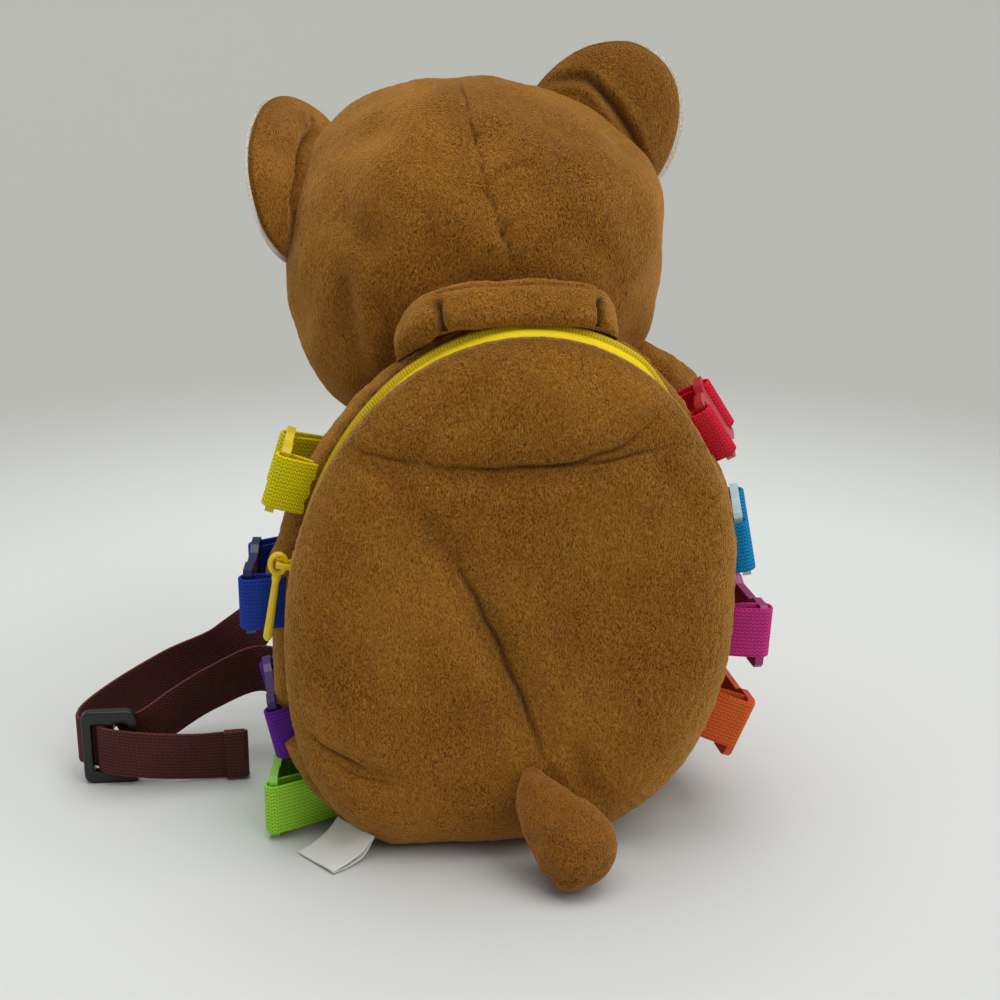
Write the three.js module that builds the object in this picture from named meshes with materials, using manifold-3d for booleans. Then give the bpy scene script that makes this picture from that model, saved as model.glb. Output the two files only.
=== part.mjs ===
// Plush bear backpack, sitting on the floor with its back to -Y.
// Units are millimetres, +Z is up and +X is to the right for someone looking at the bear's back.
import * as THREE from 'three';
import { mergeVertices } from 'three/addons/utils/BufferGeometryUtils.js';
import Module from 'manifold-3d';

const wasm = await Module();
wasm.setup();

const { abs, cos, max, PI, sign, sin, sqrt } = Math;
const { clamp, degToRad, lerp, smoothstep } = THREE.MathUtils;

// Cloth, webbing and clearances
const CLOTH = 3;
const GAP = 0.4;
const WELD = 1e-4;
const WEB_WIDTH = 25;
const WEB_THICK = 1.6;

// Pouch outline: the rings sewn at the back seam and at the front seam
const AROUND = 48;
const BACK_SEAM_Y = -46;
const BACK_RING = { centre: 4, halfWidth: 103, widest: 112, top: 244 };
const FRONT_RING = { centre: 3, halfWidth: 96, widest: 104, top: 206 };
const SINK = 6;
const UPPER_POWER = 2.05;
const LOWER_POWER = 2.65;
const LEAN = 0.02;
const TILT = 0.06;

// Pouch depth and fullness
const DEPTH_LOW = 92;
const DEPTH_TOP = 58;
const GUSSET_SWELL = 8;
const SWELL_POWER = 0.7;
const BACK_CROWN = { low: 30, top: 18 };
const BELLY_CROWN = { low: 22, top: 26 };
const RIM_POWER = 4;

// Rings of each cloth wall: shares of a panel from middle to seam, and of the gusset from seam to seam
const BACK_SHARES = {
  outer: [0.12, 0.28, 0.43, 0.56, 0.68, 0.78, 0.86, 0.92, 0.965, 0.99, 1],
  inner: [1, 0.95, 0.8, 0.5, 0.2],
};
const BELLY_SHARES = {
  outer: [0.2, 0.45, 0.65, 0.8, 0.91, 0.975, 1],
  inner: [1, 0.93, 0.7, 0.3],
};
const GUSSET_SHARES = {
  outer: [0, 0.14, 0.32, 0.5, 0.68, 0.86, 1],
  inner: [1, 0.65, 0.3, 0],
};
const SIDE_STEPS = 14;

// Long creases of the back panel: chord ends (x, z), middle offset, depth and half width
const CREASES = [
  { from: [-86, 190], to: [68, 202], bow: -16, depth: 4, reach: 9 },
  { from: [-25, 146], to: [13, 47], bow: 0, depth: 4, reach: 9 },
  { from: [-98, 73], to: [-50, 37], bow: -4, depth: 3.5, reach: 9 },
];

// Zip along the back seam, counted in steps of the ring
const ZIP_FIRST = 4;
const ZIP_LAST = 27;
const ZIP_WIDTH = 15;
const ZIP_RECESS = 5.5;
const ZIP_PROFILE = [
  { along: 0, inset: 3.2 },
  { along: 0, inset: 0.6 },
  { along: 4.5, inset: 2 },
  { along: 5.5, inset: 0.4 },
  { along: 9.5, inset: 0.4 },
  { along: 10.5, inset: 2 },
  { along: 15, inset: 0.8 },
  { along: 15, inset: 3.4 },
];

// Slider and its moulded pull
const SLIDER_ANGLE = degToRad(166);
const SLIDER_ALONG = 7.5;
const SLIDER_BODY = { out: 1.5, across: 9, along: 11 };
const BAIL = { post: 1.6, reach: 8.2, bar: 2, inside: 2.3, thick: 2.4, foot: 1.1 };
const PULL = { ring: 5.6, hole: 3.2, stick: 4.5, length: 41, thick: 3, lean: degToRad(10), segments: 10 };

// Head, rolled a little to the left, with its ears and plain face
const HEAD = { at: [-6, 55, 257], radii: [88, 73, 83], power: 2.25, around: 26, rows: 13 };
const HEAD_ROLL = degToRad(-10);
const CHEEKS = { fullness: 0.07, level: -45, reach: 35 };
const EAR = { chord: 34, height: 45, back: 8, front: 0.2, cup: 7 };
const EAR_RINGS = { shares: [0.3, 0.65, 0.9], sides: 18 };
const LINING = { inset: 4, thick: 3.5 };
const EARS = [
  { name: 'left', side: -1, at: [-69, 4, 52], lean: degToRad(92), fold: degToRad(-67), chord: 38 },
  { name: 'right', side: 1, at: [67, 0, 47], lean: degToRad(47), fold: degToRad(8), chord: 34 },
];
const ROUND_POWER = 2;
const MUZZLE = { at: [0, 64, -24], radii: [38, 24, 28], around: 16, rows: 8 };
const NOSE = { at: [0, 86, -12], radii: [11, 7, 8], around: 12, rows: 6 };
const EYE = { at: [33, 63, 14], radii: [6.5, 6.5, 6.5], around: 12, rows: 7 };

// Limbs: centre line with half width and half height of each section
const ARM_RIGHT = [
  { at: [52, 40, 214], wide: 9, high: 9 },
  { at: [79, 37, 206], wide: 14, high: 14 },
  { at: [98, 42, 191], wide: 14, high: 14 },
  { at: [99, 62, 168], wide: 14, high: 14 },
  { at: [88, 82, 148], wide: 13, high: 13 },
  { at: [84, 92, 138], wide: 7, high: 7 },
];
const ARM_LEFT = [
  { at: [-40, 45, 182], wide: 9, high: 9 },
  { at: [-56, 56, 170], wide: 14, high: 14 },
  { at: [-68, 70, 153], wide: 14, high: 14 },
  { at: [-70, 88, 132], wide: 14, high: 14 },
  { at: [-66, 102, 112], wide: 13, high: 13 },
  { at: [-63, 109, 101], wide: 7, high: 7 },
];
const TAIL = [
  { at: [10, -52, 46], wide: 9, high: 8 },
  { at: [13, -66, 41], wide: 12, high: 10 },
  { at: [19, -79, 31], wide: 17, high: 14 },
  { at: [27, -90, 20], wide: 19, high: 15.5 },
  { at: [35, -98, 13.5], wide: 16, high: 11.5 },
  { at: [40, -104, 9], wide: 8, high: 6 },
];
const LIMB_SIDES = 12;
const LIMB_STEPS_PER_ROW = 2;

// Carrying handle: centre line of the padded band, its width and the lean of its face
const HANDLE = [
  { at: [-39, -18, 222], lean: 5, wide: 19 },
  { at: [-41, -19, 238], lean: 12, wide: 19 },
  { at: [-36, -27, 248.5], lean: 32, wide: 20 },
  { at: [-26, -32, 254], lean: 48, wide: 20 },
  { at: [4, -33, 255.5], lean: 50, wide: 20 },
  { at: [33, -32, 255], lean: 48, wide: 20 },
  { at: [45, -27, 250.5], lean: 32, wide: 20 },
  { at: [49, -19, 240], lean: 12, wide: 19 },
  { at: [47, -18, 224], lean: 5, wide: 19 },
];
const HANDLE_THICK = 7.5;
const HANDLE_STEPS = 20;
const HANDLE_SIDES = 8;

// Fastened buckles round the pouch: ring angle, flap direction, its swing to the back, reaches and colours
const BUCKLES = [
  { name: 'yellow', angle: 151, aim: 162, back: 0, reach: 10.5, tab: 13, web: 0xeed711, plastic: 0xe8cf1a },
  { name: 'blue', angle: 175, aim: 180, back: 0, reach: 12, tab: 13, web: 0x1e3c9f, plastic: 0x141f4a },
  { name: 'purple', angle: 201, aim: 192, back: 0, reach: 5, tab: 13, web: 0x5a1e96, plastic: 0x451a70 },
  { name: 'green', angle: 224.8, aim: 180, back: 24, reach: 29, tab: 27, web: 0x5fc62c, plastic: 0x9be35a },
  { name: 'red', angle: 33, aim: 32, back: 0, reach: 3.2, tab: 13, web: 0xe01a34, plastic: 0xb01226 },
  { name: 'teal', angle: 8, aim: 11, back: 0, reach: 3.2, tab: 13, web: 0x0d7db0, plastic: 0xbfe0e4 },
  { name: 'magenta', angle: -8, aim: -3, back: 0, reach: 15, tab: 13, web: 0xc83f84, plastic: 0x96286c },
  { name: 'orange', angle: -29, aim: -22, back: 0, reach: 18, tab: 13, web: 0xee6c34, plastic: 0xdb3f1f },
];
const LOOP_Y = -27;
const LOOP_ROOT = -12;
const TAB_ROOT = -6;
const TAB_SLANT = 13;
const TAB_DROP = -4;
const BUCKLE = {
  bar: 1.6, slot: 5.5, thick: 4, rail: 3, longest: 54, shoulder: 3, taper: 4, waist: 2.5, corner: 2,
};
const SLOT_DRAFT = 0.3;
const LOOP_HOLE = 2.9;
const LOOP_APEX = 9;
const LOOP_SEGMENTS = 3;

// Shoulder straps: points of the centre line, and the direction across the webbing
const STRAPS = {
  left: {
    upper: [
      { at: [-97.5, 38, 132], edge: [0.3, 0.5, 1] },
      { at: [-108, 62, 112], edge: [0.3, 0.4, 1] },
      { at: [-116, 84, 72], edge: [0.2, 0.3, 1] },
      { at: [-134, 92, 48], edge: [0, 0.1, 1] },
      { at: [-162, 80, 37], edge: [0, 0, 1] },
      { at: [-190, 58, 26], edge: [0, 0, 1] },
      { at: [-206, 42, 20], edge: [0, 0, 1] },
      { at: [-206.5, 33, 19.6], edge: [0, 0, 1] },
      { at: [-201, 28.6, 19.5], edge: [0, 0, 1] },
      { at: [-195.8, 26, 19.5], edge: [0, 0, 1] },
      { at: [-195.2, 22, 19.4], edge: [0, 0, 1] },
      { at: [-190, 18.9, 19], edge: [0, 0, 1] },
      { at: [-172, 17.6, 16.5], edge: [0, 0, 1] },
      { at: [-148, 21, 13.2], edge: [0, 0, 1] },
      { at: [-124, 23, 13], edge: [0, 0.12, 1] },
    ],
    lower: [
      { at: [-87, 52, 28], edge: [0, 0.2, 1] },
      { at: [-98, 60, 31], edge: [0, 0.2, 1] },
      { at: [-116, 66, 32], edge: [0, 0.1, 1] },
      { at: [-140, 54, 27], edge: [0, 0, 1] },
      { at: [-160, 38, 21.5], edge: [0, 0, 1] },
      { at: [-174, 28.6, 19.5], edge: [0, 0, 1] },
      { at: [-183, 27.4, 19.5], edge: [0, 0, 1] },
    ],
    lock: [-190, 24, 19.4],
  },
  right: {
    upper: [
      { at: [102.5, 40, 122], edge: [-0.3, 0.5, 1] },
      { at: [110, 66, 104], edge: [-0.3, 0.4, 1] },
      { at: [108, 100, 72], edge: [-0.2, 0.2, 1] },
      { at: [95, 130, 48], edge: [0, 0, 1] },
      { at: [70, 148, 31], edge: [0, 0, 1] },
      { at: [46, 154, 22], edge: [0, 0, 1] },
      { at: [29, 151, 19.8], edge: [0, 0, 1] },
      { at: [22.6, 144, 19.6], edge: [0, 0, 1] },
      { at: [28, 138.6, 19.5], edge: [0, 0, 1] },
      { at: [33.2, 136, 19.5], edge: [0, 0, 1] },
      { at: [33.8, 132, 19.4], edge: [0, 0, 1] },
      { at: [39, 128.9, 19], edge: [0, 0, 1] },
      { at: [56, 124, 16.5], edge: [0, 0, 1] },
      { at: [72, 114, 13.2], edge: [0, 0, 1] },
      { at: [84, 98, 13], edge: [0, 0.12, 1] },
    ],
    lower: [
      { at: [72, 57, 22], edge: [0, 0.2, 1] },
      { at: [78, 70, 20], edge: [0, 0.2, 1] },
      { at: [92, 82, 19], edge: [0, 0, 1] },
      { at: [98, 104, 19], edge: [0, 0, 1] },
      { at: [84, 126, 19.5], edge: [0, 0, 1] },
      { at: [60, 137.6, 19.5], edge: [0, 0, 1] },
      { at: [47, 137.4, 19.5], edge: [0, 0, 1] },
    ],
    lock: [39, 134, 19.4],
  },
};
const STRAP_STEPS_PER_ROW = 2;
const LOCK = { long: 26, high: 38, thick: 4, slot: 7, slotHigh: 27, bar: 4, round: 4, segments: 2 };

// Blank sewn-in label at the lower left of the back seam
const LABEL = [
  { at: [-69, -50.2, 10], edge: [0.62, -0.5, 0.2] },
  { at: [-74, -55, 3.6], edge: [0.62, -0.7, 0.1] },
  { at: [-80, -60, 1.3], edge: [0.62, -0.76, 0] },
  { at: [-88, -66, 1.2], edge: [0.62, -0.76, 0] },
];
const LABEL_WIDTH = 26;
const LABEL_THICK = 1;
const LABEL_STEPS = 6;

// Colours of the cloth and plastic
const PLUSH = 0x8a5c2a;
const TAIL_PLUSH = 0x865226;
const CREAM = 0xe9dfcc;
const ZIP_YELLOW = 0xe8d21a;
const STRAP_BROWN = 0x432021;
const LOCK_BLACK = 0x1e2020;
const LABEL_WHITE = 0xeeeeea;
const FACE_DARK = 0x1c1614;

function finish(colour, roughness) {
  return new THREE.MeshStandardMaterial({ color: colour, roughness, metalness: 0 });
}

const plush = finish(PLUSH, 0.95);
const tailPlush = finish(TAIL_PLUSH, 0.95);
const cream = finish(CREAM, 0.95);
const zipYellow = finish(ZIP_YELLOW, 0.5);
const strapBrown = finish(STRAP_BROWN, 0.8);
const lockBlack = finish(LOCK_BLACK, 0.4);
const labelWhite = finish(LABEL_WHITE, 0.7);
const faceDark = finish(FACE_DARK, 0.3);

/* Mesh with a plain name, added to its group. */
function addPiece(group, name, geometry, material) {
  const mesh = new THREE.Mesh(geometry, material);
  mesh.name = name;
  group.add(mesh);
  return mesh;
}

/* Solid skin over a row of closed sections. Open ends get a fan of faces; joined ends meet each other. */
function loft(sections, joined = false) {
  const count = sections[0].length;
  const points = sections.flat();
  const faces = [];
  const bands = joined ? sections.length : sections.length - 1;
  for (let i = 0; i < bands; i += 1) {
    const here = i * count;
    const next = ((i + 1) % sections.length) * count;
    for (let k = 0; k < count; k += 1) {
      const m = (k + 1) % count;
      faces.push(here + k, here + m, next + m, here + k, next + m, next + k);
    }
  }
  if (!joined) {
    const last = (sections.length - 1) * count;
    const ends = [sections[0], sections.at(-1)];
    const middleOf = (end) => end.reduce((sum, p) => sum.add(p), new THREE.Vector3()).divideScalar(count);
    const middles = ends.map(middleOf);
    const tip = points.length;
    points.push(...middles);
    for (let k = 0; k < count; k += 1) {
      const m = (k + 1) % count;
      faces.push(tip, m, k, tip + 1, last + k, last + m);
    }
  }
  const triangle = (k) => [points[faces[k]], points[faces[k + 1]], points[faces[k + 2]]];
  let volume = 0;
  for (let k = 0; k < faces.length; k += 3) {
    const [a, b, c] = triangle(k);
    volume += a.dot(b.clone().cross(c));
  }
  const geometry = new THREE.BufferGeometry().setFromPoints(points);
  geometry.setIndex(volume > 0 ? faces : faces.reverse());
  return geometry;
}

/* Closed geometry as a solid for cutting and joining. */
function toSolid(geometry) {
  const bare = geometry.clone();
  bare.deleteAttribute('normal');
  bare.deleteAttribute('uv');
  const merged = mergeVertices(bare, WELD);
  const vertProperties = Float32Array.from(merged.attributes.position.array);
  const triVerts = Uint32Array.from(merged.index.array);
  return new wasm.Manifold(new wasm.Mesh({ numProp: 3, vertProperties, triVerts }));
}

/* Solid back to a geometry. */
function toGeometry(solid) {
  const { vertProperties, triVerts } = solid.getMesh();
  const geometry = new THREE.BufferGeometry();
  geometry.setAttribute('position', new THREE.BufferAttribute(Float32Array.from(vertProperties), 3));
  geometry.setIndex(Array.from(triVerts));
  return geometry;
}

/* Geometry with the cutters taken out of it. */
function carve(geometry, ...cutters) {
  const left = cutters.reduce((solid, cutter) => solid.subtract(toSolid(cutter)), toSolid(geometry));
  return toGeometry(left);
}

/* Geometry moved into another frame. */
function moved(geometry, matrix) {
  return geometry.clone().applyMatrix4(matrix);
}

/* Pouch ring: a superellipse with its own upper and lower halves, leaning a little, cut flat by the floor. */
function outlinePoint(ring, angle, inset) {
  const c = cos(angle);
  const s = sin(angle);
  const power = 2 / (s > 0 ? UPPER_POWER : LOWER_POWER);
  const rise = s > 0 ? ring.top - ring.widest : ring.widest + SINK;
  const across = (ring.halfWidth - inset) * sign(c) * abs(c) ** power;
  const up = (rise - inset) * sign(s) * abs(s) ** power;
  const height = ring.widest + up + TILT * across;
  return new THREE.Vector2(ring.centre + across + LEAN * up, max(height, inset));
}

/* Ring sizes at a share of the way from the back seam to the front seam: the gusset swells in between. */
function ringAt(share) {
  const swell = GUSSET_SWELL * max(sin(PI * share), 0) ** SWELL_POWER;
  return {
    centre: lerp(BACK_RING.centre, FRONT_RING.centre, share),
    halfWidth: lerp(BACK_RING.halfWidth, FRONT_RING.halfWidth, share) + swell,
    widest: lerp(BACK_RING.widest, FRONT_RING.widest, share),
    top: lerp(BACK_RING.top, FRONT_RING.top, share ** 2) + swell,
  };
}

/* Depth of the pouch, front to back: it thins towards the neck. */
function pouchDepth(height) {
  return lerp(DEPTH_LOW, DEPTH_TOP, smoothstep(height, 0, FRONT_RING.top));
}

function gussetDepth(angle) {
  return pouchDepth(outlinePoint(FRONT_RING, angle, 0).y);
}

/* Point of the gusset at a distance from the back seam. */
function gussetPoint(angle, along, inset) {
  const share = along / gussetDepth(angle);
  const flat = outlinePoint(ringAt(share), angle, inset);
  return new THREE.Vector3(flat.x, BACK_SEAM_Y + along, flat.y);
}

/* Depth of the panel's creases at a point: a soft valley along each bowed line, fading at its ends. */
function creaseDepth(x, z) {
  return CREASES.reduce((sum, crease) => {
    const [ax, az] = crease.from;
    const run = new THREE.Vector2(crease.to[0] - ax, crease.to[1] - az);
    const length = run.length();
    const along = ((x - ax) * run.x + (z - az) * run.y) / length ** 2;
    const aside = ((z - az) * run.x - (x - ax) * run.y) / length;
    const middle = clamp(4 * along * (1 - along), 0, 1);
    const offset = (aside - crease.bow * middle) / crease.reach;
    return sum + crease.depth * sqrt(middle) * Math.exp(-(offset ** 2));
  }, 0);
}

/* Point of a puffed panel: share 0 is its middle and 1 its seam. The back panel carries the creases. */
function backPoint(angle, share, inset) {
  const rim = outlinePoint(BACK_RING, angle, inset);
  const x = lerp(BACK_RING.centre, rim.x, share);
  const z = lerp(BACK_RING.widest, rim.y, share);
  const fullness = lerp(BACK_CROWN.low, BACK_CROWN.top, clamp(z / BACK_RING.top, 0, 1));
  const crown = fullness - inset - creaseDepth(x, z);
  return new THREE.Vector3(x, BACK_SEAM_Y - GAP / 2 - crown * sqrt(1 - share ** RIM_POWER), z);
}

function bellyPoint(angle, share, inset) {
  const rim = outlinePoint(FRONT_RING, angle, inset);
  const x = lerp(FRONT_RING.centre, rim.x, share);
  const z = lerp(FRONT_RING.widest, rim.y, share);
  const seam = share < 1 ? pouchDepth(z) : gussetDepth(angle);
  const crown = lerp(BELLY_CROWN.low, BELLY_CROWN.top, clamp(z / FRONT_RING.top, 0, 1)) - inset;
  return new THREE.Vector3(x, BACK_SEAM_Y + seam + GAP / 2 + crown * sqrt(1 - share ** RIM_POWER), z);
}

const ringAngles = Array.from({ length: AROUND }, (_, k) => (2 * PI * k) / AROUND);

/* Cloth panel: its outer face from middle to seam, then its inner face back to the middle. */
function panelShell(pointAt, shares) {
  const outer = shares.outer.map((share) => ringAngles.map((angle) => pointAt(angle, share, 0)));
  const inner = shares.inner.map((share) => ringAngles.map((angle) => pointAt(angle, share, CLOTH)));
  return loft([...outer, ...inner]);
}

/* Gusset: a band of cloth round the pouch, cut back where the zip is sewn in. */
function gussetShell() {
  const sections = ringAngles.map((angle, k) => {
    const zipped = k >= ZIP_FIRST && k <= ZIP_LAST;
    const start = GAP / 2 + (zipped ? ZIP_WIDTH + GAP : 0);
    const end = gussetDepth(angle) - GAP / 2;
    const outer = GUSSET_SHARES.outer.map((share) => gussetPoint(angle, lerp(start, end, share), 0));
    const inner = GUSSET_SHARES.inner.map((share) => gussetPoint(angle, lerp(start, end, share), CLOTH));
    return [...outer, ...inner];
  });
  return loft(sections, true);
}

/* Whole pouch as one solid, a little larger, used to seat what is sewn on it. */
function pouchPlug(grow) {
  const steps = Array.from({ length: SIDE_STEPS + 1 }, (_, k) => k / SIDE_STEPS);
  const backShares = BACK_SHARES.outer.slice(0, -1);
  const bellyShares = BELLY_SHARES.outer.slice(0, -1).reverse();
  const back = backShares.map((share) => ringAngles.map((angle) => backPoint(angle, share, -grow)));
  const sidePoint = (angle, step) => gussetPoint(angle, step * gussetDepth(angle), -grow);
  const sides = steps.map((step) => ringAngles.map((angle) => sidePoint(angle, step)));
  const belly = bellyShares.map((share) => ringAngles.map((angle) => bellyPoint(angle, share, -grow)));
  return loft([...back, ...sides, ...belly]);
}

/* Point of the zip, which lies deeper in its seam down the left side. */
function zipPoint(angle, along, inset) {
  return gussetPoint(angle, along, inset + ZIP_RECESS * max(-cos(angle), 0));
}

/* Zip: tapes with the raised row of teeth between them, along the back seam. */
function zipBand() {
  const sections = [];
  for (let k = ZIP_FIRST; k <= ZIP_LAST; k += 1) {
    sections.push(ZIP_PROFILE.map(({ along, inset }) => zipPoint(ringAngles[k], GAP / 2 + along, inset)));
  }
  return loft(sections);
}

/* Round padded form: a superellipsoid about its own centre. */
function softBall({ radii, around, rows, power = ROUND_POWER }, grow = 0) {
  const [rx, ry, rz] = radii.map((radius) => radius + grow);
  const sections = Array.from({ length: rows }, (_, i) => {
    const latitude = PI * ((i + 0.5) / rows - 0.5);
    return Array.from({ length: around }, (__, k) => {
      const turn = (2 * PI * k) / around;
      const way = [cos(latitude) * cos(turn), cos(latitude) * sin(turn), sin(latitude)];
      const size = way.reduce((sum, part) => sum + abs(part) ** power, 0) ** (-1 / power);
      return new THREE.Vector3(rx * way[0] * size, ry * way[1] * size, rz * way[2] * size);
    });
  });
  return loft(sections);
}

/* Head: a soft ball made fuller low down at its sides. */
function headForm(grow) {
  const geometry = softBall(HEAD, grow);
  const place = geometry.attributes.position;
  for (let k = 0; k < place.count; k += 1) {
    const offset = (place.getZ(k) - CHEEKS.level) / CHEEKS.reach;
    place.setX(k, place.getX(k) * (1 + CHEEKS.fullness * Math.exp(-(offset ** 2))));
  }
  return geometry;
}

/* Ear disc: a lens with its own front and back fullness, cupped along its chord. */
function earDisc(chord, height, front, back, lift) {
  const { shares, sides } = EAR_RINGS;
  const ringOf = (share, side, full) => Array.from({ length: sides }, (_, k) => {
    const turn = (2 * PI * k) / sides;
    const across = chord * share * cos(turn);
    const up = height * share * sin(turn);
    const cup = EAR.cup * ((across / EAR.chord) ** 2 + max(up / EAR.height, 0) ** 2);
    return new THREE.Vector3(across, up, lift + cup + side * full * sqrt(1 - share ** 2));
  });
  const faceRings = shares.map((share) => ringOf(share, 1, front));
  const backRings = shares.map((share) => ringOf(share, -1, back)).reverse();
  return loft([...faceRings, ringOf(1, 1, front), ...backRings]);
}

/* Where an ear sits on the head: its chord, its rise and its facing, folded forward by an angle. */
function earFrame({ side, at, lean, fold }) {
  const rise = new THREE.Vector3(side * sin(lean), 0, cos(lean));
  const chord = new THREE.Vector3(cos(lean), 0, -side * sin(lean));
  const forward = new THREE.Vector3(0, 1, 0);
  const tilted = rise.clone().multiplyScalar(cos(fold)).addScaledVector(forward, sin(fold));
  const facing = forward.multiplyScalar(cos(fold)).addScaledVector(rise, -sin(fold));
  const handed = chord.clone().cross(tilted).dot(facing) > 0 ? chord : chord.negate();
  return new THREE.Matrix4().makeBasis(handed, tilted, facing).setPosition(...at);
}

/* Sections carried along a smooth centre line; each row gives half width and half height. */
function limb(rows, sideways) {
  const path = new THREE.CatmullRomCurve3(rows.map((row) => new THREE.Vector3(...row.at)));
  const steps = LIMB_STEPS_PER_ROW * (rows.length - 1);
  const sections = Array.from({ length: steps + 1 }, (_, i) => {
    const share = i / steps;
    const place = share * (rows.length - 1);
    const row = Math.min(Math.floor(place), rows.length - 2);
    const wide = lerp(rows[row].wide, rows[row + 1].wide, place - row);
    const high = lerp(rows[row].high, rows[row + 1].high, place - row);
    const along = path.getTangent(share);
    const side = sideways.clone().addScaledVector(along, -sideways.dot(along)).normalize();
    const over = along.cross(side);
    const centre = path.getPoint(share);
    return Array.from({ length: LIMB_SIDES }, (__, k) => {
      const turn = (2 * PI * k) / LIMB_SIDES;
      return centre.clone().addScaledVector(side, wide * cos(turn)).addScaledVector(over, high * sin(turn));
    });
  });
  return loft(sections);
}

/* Flat strip along a smooth path; each row gives a point and the direction across the strip. */
function ribbon(rows, width, thick, steps) {
  const path = new THREE.CatmullRomCurve3(rows.map((row) => new THREE.Vector3(...row.at)));
  const edges = new THREE.CatmullRomCurve3(rows.map((row) => new THREE.Vector3(...row.edge)));
  const sections = Array.from({ length: steps + 1 }, (_, i) => {
    const along = path.getTangent(i / steps);
    const edge = edges.getPoint(i / steps);
    edge.addScaledVector(along, -edge.dot(along)).normalize();
    const face = along.cross(edge);
    const centre = path.getPoint(i / steps);
    const corners = [[-1, -1], [1, -1], [1, 1], [-1, 1]];
    return corners.map(([a, b]) => centre.clone()
      .addScaledVector(edge, (a * width) / 2).addScaledVector(face, (b * thick) / 2));
  });
  return loft(sections);
}

/* Padded band of the handle: a rounded flat section along its arch. */
function handleBand() {
  const path = new THREE.CatmullRomCurve3(HANDLE.map((row) => new THREE.Vector3(...row.at)));
  const sections = Array.from({ length: HANDLE_STEPS + 1 }, (_, i) => {
    const place = (i / HANDLE_STEPS) * (HANDLE.length - 1);
    const row = Math.min(Math.floor(place), HANDLE.length - 2);
    const lean = degToRad(lerp(HANDLE[row].lean, HANDLE[row + 1].lean, place - row));
    const wide = lerp(HANDLE[row].wide, HANDLE[row + 1].wide, place - row);
    const along = path.getTangent(i / HANDLE_STEPS);
    const edge = new THREE.Vector3(0, cos(lean), sin(lean));
    edge.addScaledVector(along, -edge.dot(along)).normalize();
    const face = along.cross(edge);
    const centre = path.getPoint(i / HANDLE_STEPS);
    return Array.from({ length: HANDLE_SIDES }, (__, k) => {
      const turn = (2 * PI * k) / HANDLE_SIDES;
      const a = (wide / 2) * sign(cos(turn)) * sqrt(abs(cos(turn)));
      const b = (HANDLE_THICK / 2) * sign(sin(turn)) * sqrt(abs(sin(turn)));
      return centre.clone().addScaledVector(edge, a).addScaledVector(face, b);
    });
  });
  return loft(sections);
}

/* Webbing folded round a bar: a drop-shaped outline with a drop-shaped hole, as wide as the webbing. */
function webbingLoop(root, bar, across) {
  const reach = bar.clone().sub(root);
  const length = reach.length();
  const outward = reach.normalize();
  const aside = across.clone().cross(outward);
  const round = LOOP_HOLE + WEB_THICK;
  const outline = new THREE.Shape();
  outline.moveTo(0, -WEB_THICK);
  outline.lineTo(length, -round);
  outline.absarc(length, 0, round, -PI / 2, PI / 2);
  outline.lineTo(0, WEB_THICK);
  const hole = new THREE.Path();
  hole.moveTo(LOOP_APEX, 0);
  hole.lineTo(length, -LOOP_HOLE);
  hole.absarc(length, 0, LOOP_HOLE, -PI / 2, PI / 2);
  outline.holes.push(hole);
  const geometry = new THREE.ExtrudeGeometry(outline, {
    depth: WEB_WIDTH, bevelEnabled: false, curveSegments: LOOP_SEGMENTS,
  });
  geometry.translate(0, 0, -WEB_WIDTH / 2);
  const frame = new THREE.Matrix4().makeBasis(outward, aside, across).setPosition(root);
  return moved(geometry, frame);
}

/* Slot with a slight draft, so that it narrows towards its far side. */
function slotPath(near, far, half) {
  const slot = new THREE.Path();
  slot.moveTo(near, -half);
  slot.lineTo(far, SLOT_DRAFT - half);
  slot.lineTo(far, half - SLOT_DRAFT);
  slot.lineTo(near, half);
  return slot;
}

/* Closed buckle between two bars: a flat frame with a slot behind each bar and a waist in the middle. */
function buckleBody(back, front, across) {
  const reach = front.clone().sub(back);
  const length = reach.length();
  const forward = reach.normalize();
  const side = across.clone().addScaledVector(forward, -across.dot(forward)).normalize();
  const out = forward.clone().cross(side);
  const { bar, slot, thick, rail, taper, waist, corner } = BUCKLE;
  const slotHalf = WEB_WIDTH / 2 + GAP;
  const half = slotHalf + rail;
  const shoulder = bar + slot + BUCKLE.shoulder;
  const edge = [[-bar, half - corner], [0, half], [shoulder, half], [shoulder + taper, half - waist]];
  const farEdge = edge.map(([x, y]) => [length - x, y]).reverse();
  const upper = [...edge, ...farEdge];
  const lower = upper.map(([x, y]) => [x, -y]).reverse();
  const outline = new THREE.Shape([...upper, ...lower].map(([x, y]) => new THREE.Vector2(x, y)));
  outline.holes.push(slotPath(bar, bar + slot, slotHalf));
  outline.holes.push(slotPath(length - bar - slot, length - bar, slotHalf));
  const geometry = new THREE.ExtrudeGeometry(outline, { depth: thick, bevelEnabled: false });
  geometry.translate(0, 0, -thick / 2);
  return moved(geometry, new THREE.Matrix4().makeBasis(forward, side, out).setPosition(back));
}

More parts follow.
